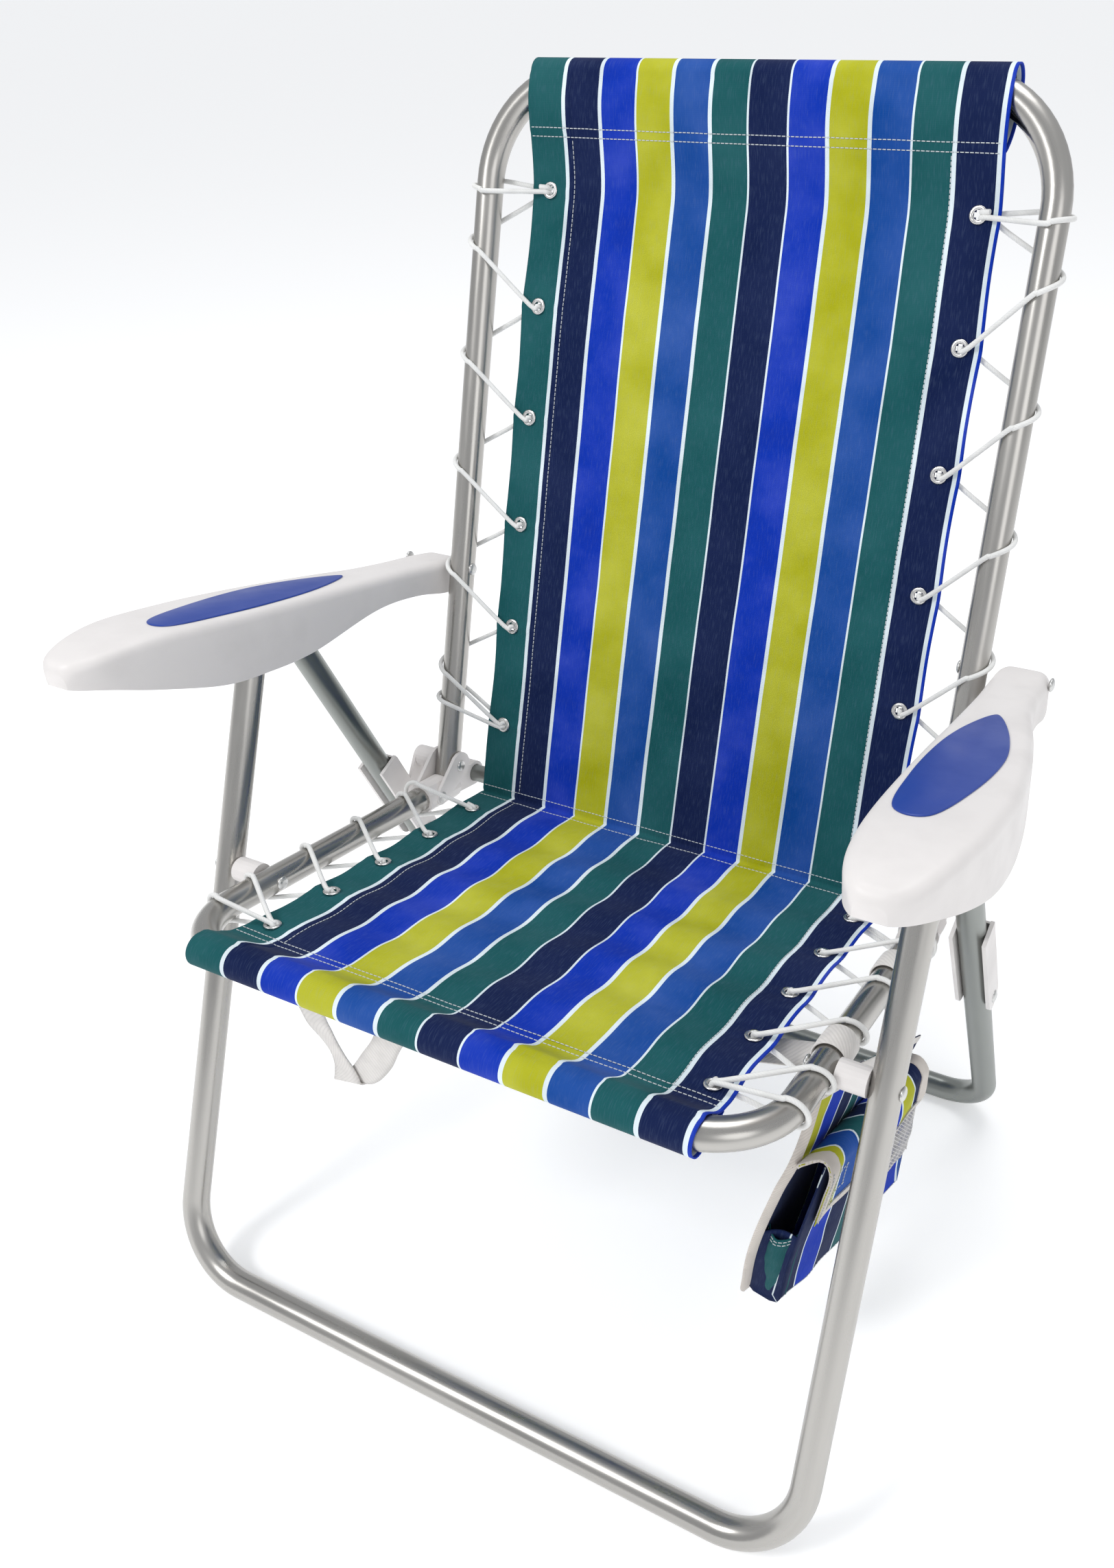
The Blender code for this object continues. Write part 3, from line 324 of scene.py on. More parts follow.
def facedOut(mesh, openShell=False):
    # an open shell has its doubled points merged and its top turned up
    bm = bmesh.new()
    bm.from_mesh(mesh)
    if openShell:
        bmesh.ops.remove_doubles(bm, verts=bm.verts, dist=1e-5)
    bmesh.ops.recalc_face_normals(bm, faces=bm.faces)
    if openShell and max(bm.faces, key=lambda f: f.calc_center_median().z).normal.z < 0:
        bmesh.ops.reverse_faces(bm, faces=bm.faces)
    bm.to_mesh(mesh)
    bm.free()


def angles(low, high, step):
    return [math.radians(d) for d in range(low, high, step)]


def steps(count, low=0.0, high=1.0):
    return [low + (high - low) * k / count for k in range(count + 1)]


def spline(a, b, c, d, t):
    # the smooth curve from b to c, with a and d as their neighbours
    return 0.5 * (2 * b + (c - a) * t + (2 * a - 5 * b + 4 * c - d) * t * t + (3 * b - a - 3 * c + d) * t ** 3)


def smoothLine(points, parts, closed=False):
    pts = [Vector(p) for p in points]
    if closed:
        ring = [pts[-1]] + pts + pts[:2]
    else:
        ring = [pts[0] * 2 - pts[1]] + pts + [pts[-1] * 2 - pts[-2]]
    line = []
    for a, b, c, d in zip(ring, ring[1:], ring[2:], ring[3:]):
        line += [spline(a, b, c, d, j / parts) for j in range(parts)]
    return line if closed else line + [pts[-1]]


def bentPath(corners, radius, parts=16, reach=0.03):
    points = [Vector(corners[0])]
    for before, corner, after in zip(corners, corners[1:], corners[2:]):
        a, c, b = Vector(before), Vector(corner), Vector(after)
        u, v = (a - c).normalized(), (b - c).normalized()
        half = u.angle(v) / 2
        centre = c + (u + v).normalized() * radius / math.sin(half)
        p = c + u * radius / math.tan(half) - centre
        q = c + v * radius / math.tan(half) - centre
        turn = p.angle(q)
        for w in steps(parts):
            points.append(centre + (p * math.sin((1 - w) * turn) + q * math.sin(w * turn)) / math.sin(turn))
    points.append(Vector(corners[-1]))
    filled = [points[0]]
    for p, q in zip(points, points[1:]):
        pieces = max(1, int((q - p).length / reach))
        filled += [p.lerp(q, k / pieces) for k in range(1, pieces + 1)]
    return filled


def sweep(name, path, section, material, up=None):
    # section is a ring of (across, outward) offsets; up keeps the outward side of a band in one direction
    path = [Vector(p) for p in path]
    tangents = [(after - before).normalized() for before, after in zip(path[:1] + path, path[1:] + path[-1:])]
    normal = tangents[0].orthogonal().normalized()
    points, uvs, faces, walked = [], [], [], 0.0
    count = len(section)
    for k, (p, t) in enumerate(zip(path, tangents)):
        if up is not None:
            wanted = up[k] if isinstance(up, list) else Vector(up)
            normal = (wanted - t * wanted.dot(t)).normalized()
        else:
            normal = (normal - t * normal.dot(t)).normalized()
        across = t.cross(normal)
        if k:
            walked += (p - path[k - 1]).length
        girth = 0.0
        for j, (a, b) in enumerate(section):
            points.append(p + (across * a + normal * b))
            uvs.append((walked, girth))
            c, d = section[(j + 1) % count]
            girth += math.hypot(c - a, d - b)
    rows = len(path)
    for k in range(rows - 1):
        for j in range(count):
            a, b = k * count + j, k * count + (j + 1) % count
            faces.append((a, a + count, b + count, b))
    faces += [tuple(range(count)), tuple(range((rows - 1) * count, rows * count))[::-1]]
    mesh = meshFrom(name, points, faces, uvs)
    facedOut(mesh)
    mesh.set_sharp_from_angle(angle=math.radians(50))
    return addObject(name, mesh, material)


def roundSection(radius, count):
    return [(radius * math.cos(2 * math.pi * k / count), radius * math.sin(2 * math.pi * k / count))
            for k in range(count)]


def bandSection(width, thick):
    half, t = width / 2, thick / 2
    return [(-half + t, -t), (0, -t), (half - t, -t), (half, 0), (half - t, t), (0, t), (-half + t, t), (-half, 0)]


# frame tubes
tubeEnds = {"rail": 0.024, "post": 0.0119, "legBelowPivot": 0.0090}
crossBar = {"half": 0.2845, "fromPivot": 0.030, "radius": 0.0095}
rail, leg, lift = chair["railX"], chair["legX"], chair["postForward"]
sin, cos = math.sin(chair["legLean"]), math.cos(chair["legLean"])
legToPivot = (armFrontPivot[0] - frontFloor[0]) * sin + (armFrontPivot[1] - frontFloor[1]) * cos
legTop = along(frontFloor, chair["legLean"], legToPivot - tubeEnds["legBelowPivot"])


def tube(name, node, body, x, top, low, bend, material):
    # a U of tube, from one free end down to the cross part and up to the other
    path = bentPath([(-x, *top), (-x, *low), (x, *low), (x, *top)], bend)
    pieceOn(sweep(name, path, roundSection(chair["tubeR"], 32), material), body, "aluminium_tube", node)


tube("seatTube", "seat_frame", "seat", rail, seatAt(tubeEnds["rail"]), seatAt(chair["seatLength"]),
     chair["seatBend"], frontAluminium)
tube("backTube", "back_frame", "back", rail, backAt(tubeEnds["post"], lift), backAt(chair["backLength"], lift),
     chair["backBend"], frontAluminium)
tube("frontLegTube", "front_leg_frame", "front_legs", leg, legTop, frontFloor, chair["frontLegBend"], frontAluminium)
tube("rearLegTube", "rear_leg_frame", "rear_legs", leg, rearTop, rearFloor, chair["rearLegBend"], paintedShadeAluminium)
barAt = (backPivot[0] + crossBar["fromPivot"], backPivot[1] - crossBar["fromPivot"])
barLine = [(x, *barAt) for x in (-crossBar["half"], -0.14, 0, 0.14, crossBar["half"])]
pieceOn(sweep("crossBar", barLine, roundSection(crossBar["radius"], 28), paintedShadeAluminium), "seat", "aluminium_tube",
        "rear_cross_bar")
print("tubes made")

# the sling: one cloth from the sleeve on the front bar to the sleeve on the top bar
sling = {
    "thickness": 0.0011, "barGap": 0.0010, "seatHem": 0.036, "backHem": 0.052, "seatSag": 0.0050, "backSag": 0.0030,
    "hemLine": 0.1870, "scallop": 0.0016, "wrinkle": 0.0011, "slack": 0.0019, "riseFrom": 0.600, "riseTo": 0.692,
    "eyeletHole": 0.0040, "edgeFrom": 0.17, "seatSpan": 0.345, "backSpan": 0.654, "frontRipple": (0.27, 0.0022),
    "topNarrow": 0.0045, "frontWide": 0.0080, "row": 0.0050,
    "nearEye": (-0.006, -0.004, -0.002, 0, 0.002, 0.004, 0.006),
}
slingRing = chair["tubeR"] + sling["barGap"] + sling["thickness"] / 2     # from a bar's middle to the cloth's


def topRise(t):
    # the back cloth comes forward over its last stretch, to run smoothly over the top bar
    share = max(0.0, min(1.0, (t - sling["riseFrom"]) / (sling["riseTo"] - sling["riseFrom"])))
    return (chair["postForward"] + slingRing) * share * share * (3 - 2 * share)


def clothRows(eyes, stop, first=0.004, clear=0.008):
    # even rows along the cloth, with closer ones at each eyelet
    even = [first + sling["row"] * k for k in range(int(stop / sling["row"]))]
    marks = {round(e + d, 5) for e in eyes for d in sling["nearEye"]}
    return sorted(marks | {round(at, 5) for at in even if all(abs(at - e) > clear for e in eyes)})


def slingProfile():
    # (kind, along, normal) from under the front bar to behind the top bar
    ring, bar, end = slingRing, chair["seatLength"], chair["seatLength"] - sling["seatHem"]
    line = [("under", end + f * 0.030, -0.0016 - 0.0100 * f ** 0.8) for f in (0, 0.15, 0.35, 0.6, 0.85)]
    line += [("wrap", bar + ring * math.cos(a), ring * math.sin(a)) for a in angles(-100, 101, 10)]
    line += [("seat", end + (bar - end) * f, 0.0006 + (ring - 0.0008) * f * f * (3 - 2 * f))
             for f in (0.82, 0.7, 0.58, 0.46, 0.34, 0.22, 0.12, 0.05, 0.0)]
    line += [("seat", s, 0.0) for s in clothRows(chair["seatEyes"], end - 0.006)[::-1] if 0.003 < s < end - 0.002]
    line += [("crease", 0.0, 0.0)]
    top, hem = chair["backLength"], chair["backLength"] - sling["backHem"]
    line += [("back", t, topRise(t)) for t in clothRows(chair["backEyes"], hem - 0.004) if 0.003 < t < hem - 0.001]
    line += [("back", t, topRise(t)) for t in (hem + (top - hem) * f for f in
                                               (0.0, 0.06, 0.14, 0.22, 0.3, 0.38, 0.46, 0.56, 0.68, 0.8, 0.92))]
    line += [("over", top + ring * math.sin(a), chair["postForward"] + ring * math.cos(a))
             for a in angles(0, 181, 10)]
    low = chair["postForward"] - ring
    line += [("behind", top - sling["backHem"] * f, low * (1 - f ** 3) + (topRise(hem) - 0.0016) * f ** 3)
             for f in (0.15, 0.3, 0.42, 0.54, 0.64, 0.74, 0.84, 0.93, 1.0)]
    return line


def acrossCloth():
    half, marks = chair["clothHalf"], set()
    for k in range(-46, 47):
        x = k * 0.005
        if abs(abs(x) - chair["eyeX"]) > 0.008 and abs(abs(x) - sling["hemLine"]) > 0.004:
            marks.add(round(x, 5))
    for side in (-1, 1):
        marks |= {round(side * (chair["eyeX"] + d), 5) for d in sling["nearEye"]}
        marks |= {round(side * (sling["hemLine"] + d), 5) for d in (-0.0025, -0.0012, 0, 0.0012, 0.0025)}
        marks |= {side * half, side * (half - 0.0015)}
    return sorted(m for m in marks if abs(m) <= half)


def nearestGap(value, eyes):
    # 0 at an eyelet, 1 midway between two
    for low, high in zip(eyes, eyes[1:]):
        if low <= value <= high:
            return math.sin(math.pi * (value - low) / (high - low))
    return 0.0


def layout(kind):
    return seatAt if kind in ("under", "wrap", "seat") else backAt


def clothPoint(kind, at, n, x):
    half = chair["clothHalf"]
    edge = max(0.0, (abs(x) - sling["edgeFrom"]) / (half - sling["edgeFrom"]))
    lift, pull = 0.0, 0.0
    wave = noise.fractal(Vector((x * 9, at * 7, 0.3)), 1.0, 2.0, 3)
    fine = noise.fractal(Vector((x * 34, at * 22, 1.7)), 1.0, 2.0, 2)
    if kind in ("seat", "back"):
        eyes = chair[f"{kind}Eyes"]
        middle = math.sin(math.pi * min(max(at / sling[f"{kind}Span"], 0), 1))
        lift -= sling[f"{kind}Sag"] * middle * (1 - (x / half) ** 2)
        pull = sling["scallop"] * nearestGap(at, eyes) * edge ** 2
        lift += sling["wrinkle"] * wave * (0.5 + 0.9 * middle) + 0.00035 * fine
        if kind == "seat":
            # broad slack waves that run across the seat and fade at the laced edges
            slack = noise.noise(Vector((x * 5.5, at * 3.0, 4.1)))
            lift += sling["slack"] * math.sin(at * 88 + 2.4 * slack + x * 9) * middle ** 0.5 * (1 - 0.6 * edge)
            lift += sling["slack"] * 0.7 * slack * middle
        # puckers round the eyelets, then the doubled side hem and its pulled-in seam
        away = min(abs(at - e) for e in eyes)
        pucker = math.exp(-(away / 0.013) ** 2) * math.exp(-((abs(x) - chair["eyeX"]) / 0.020) ** 2)
        lift += 0.0007 * pucker * math.cos(away * 380)
        lift += 0.0005 * (abs(x) > sling["hemLine"])
        lift -= 0.0008 * math.exp(-((abs(x) - sling["hemLine"]) / 0.0013) ** 2)
        start, ripple = sling["frontRipple"]
        if kind == "seat" and at > start:
            lift += ripple * math.sin((at - start) * 70) * (0.6 + 0.8 * wave) * min(1, (at - start) / 0.03)
    if kind == "crease":
        lift -= 0.0006
    if kind == "back" and at > sling["backSpan"]:
        lift += 0.0012 * wave + 0.0008 * fine
    narrow = wide = 0.0
    if kind in ("back", "over", "behind"):
        narrow = sling["topNarrow"] * max(0.0, min(1.0, (at - 0.50) / 0.15))
    if kind in ("seat", "wrap", "under") and x < 0:
        wide = sling["frontWide"] * max(0.0, min(1.0, (at - 0.30) / 0.06))
    return Vector((x * (1 + (wide - narrow) / half) - pull * math.copysign(1, x), *layout(kind)(at, n + lift)))


def makeSling():
    profile, columns = slingProfile(), acrossCloth()
    rows, walked, last = [], 0.0, None
    for kind, at, n in profile:
        here = Vector((0, *layout(kind)(at, n)))
        walked += (here - last).length if last is not None else 0.0
        rows.append(walked)
        last = here
    points = [clothPoint(kind, at, n, x) for kind, at, n in profile for x in columns]
    uvs = [(x, v) for v in rows for x in columns]
    wide = len(columns)
    faces = []
    for k in range(len(profile) - 1):
        kind, at = profile[k][0], (profile[k][1] + profile[k + 1][1]) / 2
        eyes = {"seat": chair["seatEyes"], "back": chair["backEyes"]}.get(kind, [])
        for j in range(wide - 1):
            middle = (columns[j] + columns[j + 1]) / 2
            if any(math.hypot(at - e, abs(middle) - chair["eyeX"]) < sling["eyeletHole"] for e in eyes):
                continue
            faces.append((k * wide + j, (k + 1) * wide + j, (k + 1) * wide + j + 1, k * wide + j + 1))
    made = addObject("slingCloth", meshFrom("slingCloth", points, faces, uvs), slingCloth)
    return thicken(made, sling["thickness"]), rows[-1]


cloth, clothLength = makeSling()
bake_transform(cloth)
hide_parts("sling_seat", "sling_back")
print("sling made")


# Geometry Nodes for what repeats
def newTree(name, sizes):
    tree = bpy.data.node_groups.new(name, "GeometryNodeTree")
    tree.interface.new_socket("Geometry", in_out="INPUT", socket_type="NodeSocketGeometry")
    for label, value in sizes.items():
        socket = tree.interface.new_socket(label, in_out="INPUT", socket_type="NodeSocketFloat")
        socket.default_value = value
    tree.interface.new_socket("Geometry", in_out="OUTPUT", socket_type="NodeSocketGeometry")
    return tree, tree.nodes.new("NodeGroupInput"), tree.nodes.new("NodeGroupOutput")


def finishTree(tree, end, geometry, material):
    realized = addNode(tree, "GeometryNodeRealizeInstances", {"Geometry": geometry})
    smooth = addNode(tree, "GeometryNodeSetShadeSmooth", {"Geometry": realized.outputs[0]})
    shaded = addNode(tree, "GeometryNodeSetMaterial", {"Geometry": smooth.outputs[0], "Material": material})
    tree.links.new(shaded.outputs[0], end.inputs[0])


def runTree(name, mesh, tree, sizes):
    made = addObject(name, mesh)
    grown = made.modifiers.new("grown", "NODES")
    grown.node_group = tree
    for item in tree.interface.items_tree:
        if item.in_out == "INPUT" and item.name in sizes:
            grown[item.identifier] = sizes[item.name]
    return settle(made)


stitches = {"Spacing": 0.0042, "Stitch": 0.0031, "Thread": 0.00042}
eyelets = {"Ring": 0.0060, "Lip": 0.0019, "Height": 0.55}
eyeletLift = 0.0009           # above the middle of the cloth
rivets = {"Head": 0.0062, "Rise": 0.42}


def stitchTree():
    tree, start, end = newTree("stitchRows", stitches)
    line = addNode(tree, "GeometryNodeMeshToCurve", {"Mesh": start.outputs["Geometry"]})
    even = addNode(tree, "GeometryNodeResampleCurve", {"Curve": line.outputs[0], "Length": start.outputs["Spacing"]},
                   mode="LENGTH")
    thread = addNode(tree, "GeometryNodeMeshCylinder", {"Vertices": 6, "Radius": start.outputs["Thread"],
                                                        "Depth": start.outputs["Stitch"]})
    tangent = addNode(tree, "GeometryNodeInputTangent")
    turn = addNode(tree, "FunctionNodeAlignRotationToVector", {"Vector": tangent.outputs[0]}, axis="Z")
    placed = addNode(tree, "GeometryNodeInstanceOnPoints", {"Points": even.outputs[0], "Instance": thread.outputs[0],
                                                            "Rotation": turn.outputs[0]})
    finishTree(tree, end, placed.outputs[0], stitchThread)
    return tree


def facingTree(name, sizes, build, material):
    # build makes one copy, which stands on each point and faces along the point's own direction
    tree, start, end = newTree(name, sizes)
    copy = build(tree, start)
    facing = addNode(tree, "GeometryNodeInputNamedAttribute", {"Name": "facing"}, data_type="FLOAT_VECTOR")
    turn = addNode(tree, "FunctionNodeAlignRotationToVector", {"Vector": facing.outputs[0]}, axis="Z")
    placed = addNode(tree, "GeometryNodeInstanceOnPoints", {"Points": start.outputs["Geometry"], "Instance": copy,
                                                            "Rotation": turn.outputs[0]})
    finishTree(tree, end, placed.outputs[0], material)
    return tree


def flattened(tree, made, height):
    scale = addNode(tree, "ShaderNodeCombineXYZ", {"X": 1.0, "Y": 1.0, "Z": height})
    return addNode(tree, "GeometryNodeTransform", {"Geometry": made.outputs[0], "Scale": scale.outputs[0]}).outputs[0]


def eyeletCopy(tree, start):
    ring = addNode(tree, "GeometryNodeCurvePrimitiveCircle", {"Resolution": 24, "Radius": start.outputs["Ring"]})
    lip = addNode(tree, "GeometryNodeCurvePrimitiveCircle", {"Resolution": 10, "Radius": start.outputs["Lip"]})
    body = addNode(tree, "GeometryNodeCurveToMesh", {"Curve": ring.outputs[0], "Profile Curve": lip.outputs[0]})
    return flattened(tree, body, start.outputs["Height"])


def rivetCopy(tree, start):
    dome = addNode(tree, "GeometryNodeMeshUVSphere", {"Segments": 24, "Rings": 12, "Radius": start.outputs["Head"]})
    return flattened(tree, dome, start.outputs["Rise"])


def facingPoints(name, places):
    mesh = meshFrom(name, [p for p, _ in places], [])
    mesh.attributes.new("facing", "FLOAT_VECTOR", "POINT").data.foreach_set(
        "vector", [c for _, d in places for c in Vector(d).normalized()])
    return mesh


def linesMesh(name, lines):
    points, edges = [], []
    for line in lines:
        edges += [(len(points) + k, len(points) + k + 1) for k in range(len(line) - 1)]
        points += line
    mesh = bpy.data.meshes.new(name)
    mesh.from_pydata([tuple(p) for p in points], edges, [])
    return mesh


seatUp = Vector((0, math.sin(chair["seatTilt"]), math.cos(chair["seatTilt"])))
backOut = Vector((0, -math.cos(chair["recline"]), math.sin(chair["recline"])))
eyeletMaker = facingTree("eyeletRings", eyelets, eyeletCopy, chromeRing)
for kind, out, node in (("seat", seatUp, "seatEyelets"), ("back", backOut, "backEyelets")):
    places = [(clothPoint(kind, t, 0.0, side * chair["eyeX"]) + out * eyeletLift, out)
              for t in chair[f"{kind}Eyes"] for _, side in sides]
    pieceOn(runTree(node, facingPoints(node, places), eyeletMaker, eyelets), kind, "rivet_steel")

stitchMaker = stitchTree()
seam = {"onCloth": sling["thickness"] / 2 + 0.0002, "onHem": 0.0004, "inset": 0.004, "point": 0.006,
        "seatRows": (0.3450, 0.3385), "backRows": (0.6590, 0.6520), "crease": 0.0085, "sideFrom": 0.012,
        "seatSideTo": 0.335, "backSideTo": 0.648}


def crossLine(kind, at, n):
    start, width = -chair["clothHalf"] + seam["inset"], 2 * chair["clothHalf"] - 2 * seam["inset"]
    return [clothPoint(kind, at, n + seam["onCloth"], start + k * seam["point"])
            for k in range(int(width / seam["point"]) + 1)]


def sideLine(kind, side):
    low, high = seam["sideFrom"], seam[f"{kind}SideTo"]
    return [clothPoint(kind, at, seam["onCloth"] + seam["onHem"] + (topRise(at) if kind == "back" else 0.0),
                       side * sling["hemLine"]) for at in steps(int((high - low) / seam["point"]), low, high)]


seatLines = [crossLine("seat", s, 0.0006) for s in seam["seatRows"]]
backLines = [crossLine("back", t, topRise(t) + 0.0002) for t in seam["backRows"]]
for kind, lines in (("seat", seatLines), ("back", backLines)):
    name = f"{kind}Stitches"
    lines += [crossLine(kind, seam["crease"], 0.0)] + [sideLine(kind, side) for _, side in sides]
    pieceOn(runTree(name, linesMesh(name, lines), stitchMaker, stitches), kind, "sling_cloth")
print("eyelets and stitches made")

# laces
lace = {"radius": 0.00225, "clear": 0.0006, "endRise": 0.012, "pair": 0.0022, "overBracket": 0.0046}
laceRing = chair["tubeR"] + lace["radius"] + lace["clear"]       # from the tube's middle to the cord's


def laceRoute(eyes, pitch, tubeN, barAt, bend, lean, first, last, lastRing):
    # through each eyelet and round the tube to the next, with an extra turn at both ends
    way = math.copysign(1, pitch)

    def turn(middle, rise, radius):
        points = []
        for a in angles(-20, 201, 20):
            t = middle + way * rise * (a / math.pi - 0.5)
            past = max(0.0, t - (barAt - bend))
            x = rail - bend + math.sqrt(bend * bend - past * past)
            points.append((x + radius * math.sin(a), tubeN + radius * math.cos(a), t))
        return points

    def through(t):
        e = chair["eyeX"]
        return [(e + 0.0075, -0.0046, t), (e + 0.0008, -0.0028, t), (e - 0.0006, 0.0004, t),
                (e + 0.0008, 0.0034, t), (e + 0.0075, 0.0050, t)]

    pair, endRise = lace["pair"], lace["endRise"]
    stops = [(eyes[0] - way * pair, eyes[0] + first, endRise, laceRing)]
    stops += [(t + way * pair * (k == 0) - way * pair * (k == len(eyes) - 1), t + pitch * lean,
               abs(pitch) * 0.26, laceRing) for k, t in enumerate(eyes)]
    stops[-1] = (stops[-1][0], eyes[-1] + last, endRise, lastRing)
    stops.append((eyes[-1] + way * pair, None, None, None))
    route = []
    for k, (eye, middle, rise, radius) in enumerate(stops):
        route += through(eye)
        if middle is not None:
            route += turn(middle, rise, radius)
            route.append((chair["clothHalf"] + 0.004, -0.0062, route[-1][2] * 0.35 + stops[k + 1][0] * 0.65))
    return route


backRoute = laceRoute(chair["backEyes"], chair["backPitch"], chair["postForward"], chair["backLength"],
                      chair["backBend"], 0.56, 0.021, 0.0, laceRing)
seatRoute = laceRoute(chair["seatEyes"][::-1], -chair["seatPitch"], 0.0, chair["seatLength"], chair["seatBend"],
                      0.65, 0.0, 0.0060, laceRing + lace["overBracket"])
for label, side in sides:
    for kind, route in (("back", backRoute), ("seat", seatRoute)):
        line = smoothLine([(side * out, *layout(kind)(t, n)) for out, n, t in route], 4)
        made = sweep(f"{kind}Lace{label.title()}", line, roundSection(lace["radius"], 12), laceCord)
        pieceOn(made, kind, "elastic_cord", f"{kind}_lace_{label}")
print("laces made")

# arms
armShape = {
    "plan": [(0.2950, 0.094), (0.2955, 0.060), (0.2985, 0.010), (0.2998, -0.060), (0.3000, -0.120), (0.3015, -0.180),
             (0.3050, -0.250), (0.3125, -0.312), (0.3300, -0.344), (0.3510, -0.346), (0.3710, -0.322),
             (0.3845, -0.265), (0.3870, -0.200), (0.3830, -0.150), (0.3745, -0.100), (0.3625, -0.050),
             (0.3510, -0.010), (0.3458, 0.030), (0.3440, 0.070), (0.3385, 0.098), (0.3240, 0.108), (0.3060, 0.107)],
    "skirt": [(-0.346, 0.6165), (-0.318, 0.6055), (-0.280, 0.5865), (-0.224, 0.5610), (-0.180, 0.5500),
              (-0.120, 0.5415), (-0.031, 0.5420), (0.027, 0.5310), (0.070, 0.5160), (0.108, 0.5110)],
    "topZ": 0.5770, "topY": -0.039, "slope": 0.24, "edge": 0.0095, "wall": 0.0026, "stations": 96, "blunt": 0.0040,
    "endRound": 0.0090, "droopFrom": -0.255, "droop": 1.8,
    "inlay": [(0.3195, -0.2475), (0.3450, -0.2475), (0.3580, -0.1900), (0.3610, -0.1300), (0.3520, -0.0830),
              (0.3350, -0.0420), (0.3255, -0.0420), (0.3140, -0.0830), (0.3095, -0.1300), (0.3110, -0.1900)],
}
skirtLine = [(p.x, p.y) for p in smoothLine([(y, z, 0) for y, z in armShape["skirt"]], 10)]


def armTop(y):
    # straight and sloped, and drooping toward the front end
    droop = max(0.0, armShape["droopFrom"] - y)
    return armShape["topZ"] + armShape["slope"] * (armShape["topY"] - y) - armShape["droop"] * droop * droop


def armBottom(y):
    for (y0, z0), (y1, z1) in zip(skirtLine, skirtLine[1:]):
        if y <= y1:
            return z0 + (z1 - z0) * max(0.0, (y - y0) / (y1 - y0))
    return skirtLine[-1][1]


def armSection(low, high, y, fromEnd):
    top, bottom = armTop(y), armBottom(y)
    width, ends = high - low, armShape["endRound"]
    if fromEnd < ends:
        top -= ends - math.sqrt(ends * ends - (ends - fromEnd) ** 2)
    r = min(armShape["edge"], width * 0.5, (top - bottom) * 0.6)
    down = [bottom, bottom + (top - r - bottom) * 0.33, bottom + (top - r - bottom) * 0.66]
    section = [(low, z) for z in down]
    section += [(low + r - r * math.cos(a), top - r + r * math.sin(a)) for a in angles(0, 91, 15)]
    section += [(low + r + (width - 2 * r) * k / 6, top) for k in range(1, 6)]
    section += [(high - r + r * math.sin(a), top - r + r * math.cos(a)) for a in angles(0, 91, 15)]
    return section + [(high, z) for z in reversed(down)]


def makeArm(label, side):
    plan = smoothLine([(x, y, 0) for x, y in armShape["plan"]], 24, closed=True)
    yLow, yHigh = min(p.y for p in plan) + armShape["blunt"], max(p.y for p in plan) - armShape["blunt"]
    points, rows = [], armShape["stations"]
    for k in range(rows + 1):
        y = (yLow + yHigh) / 2 - (yHigh - yLow) / 2 * math.cos(math.pi * k / rows)
        crossings = [a.x + (b.x - a.x) * (y - a.y) / (b.y - a.y) for a, b in zip(plan, plan[1:] + plan[:1])
                     if (a.y <= y < b.y) or (b.y <= y < a.y)]
        for x, z in armSection(min(crossings), max(crossings), y, min(y - yLow, yHigh - y)):
            points.append((side * x, chair["creaseY"] + y, z))
    wide = len(points) // (rows + 1)
    faces = gridFaces(rows + 1, wide)
    for row, way in ((0, 1), (rows, -1)):
        # the blunt ends close the shell between its two sides
        faces += [(row * wide + j, row * wide + wide - 1 - j, row * wide + wide - 2 - j, row * wide + j + 1)[::way]
                  for j in range(wide // 2)]
    mesh = meshFrom(f"arm{label.title()}", points, faces if side > 0 else [f[::-1] for f in faces])
    made = addObject(f"arm{label.title()}", mesh, whitePlastic)
    facedOut(mesh, openShell=True)
    thicken(made, armShape["wall"], -1)
    made.data.set_sharp_from_angle(angle=math.radians(55))
    return made


def makeInlay(label, side):
    line = smoothLine([(x, y, 0) for x, y in armShape["inlay"]], 8, closed=True)
    up = Vector((0, armShape["slope"], 1)).normalized()
    count, rings = len(line), []
    for inset, h in ((0.0, 0.0002), (0.0, 0.0008), (0.0004, 0.0012), (0.0011, 0.0014)):
        ring = []
        for k, p in enumerate(line):
            way = (line[(k + 1) % count] - line[k - 1]).normalized()
            q = p + Vector((-way.y, way.x, 0)) * inset
            ring.append(Vector((side * q.x, chair["creaseY"] + q.y, armTop(q.y))) + up * h)
        rings.append(ring)
    points = [p for ring in rings for p in ring]
    faces = [(r * count + k, r * count + (k + 1) % count, (r + 1) * count + (k + 1) % count, (r + 1) * count + k)
             for r in range(3) for k in range(count)]
    faces += [tuple(range(3 * count, 4 * count)), tuple(range(count))[::-1]]
    mesh = meshFrom(f"inlay{label.title()}", points, faces)
    facedOut(mesh)
    mesh.set_sharp_from_angle(angle=math.radians(35))
    return addObject(f"inlay{label.title()}", mesh, bluePlastic)


for label, side in sides:
    pieceOn(makeArm(label, side), f"arm_{label}", "white_plastic", f"arm_{label}")
    pieceOn(makeInlay(label, side), f"arm_{label}", "blue_plastic", f"arm_inlay_{label}")
print("arms made")

# rivets
rivetMaker = facingTree("rivetHeads", rivets, rivetCopy, rivetSteel)
onTube, armFace = chair["tubeR"], 0.3452
onBracket = onTube + 0.0039


def rivetSet(name, body, places, nodes):
    # each place is (side view, x, facing), and is made on both sides of the chair
    heads = [((side * x, *at), (side * face, 0, 0)) for at, x, face in places for _, side in sides]
    pieceOn(runTree(name, facingPoints(name, heads), rivetMaker, rivets), body, "rivet_steel",
            *[f"{node}_{label}" for node in nodes for label, _ in sides])


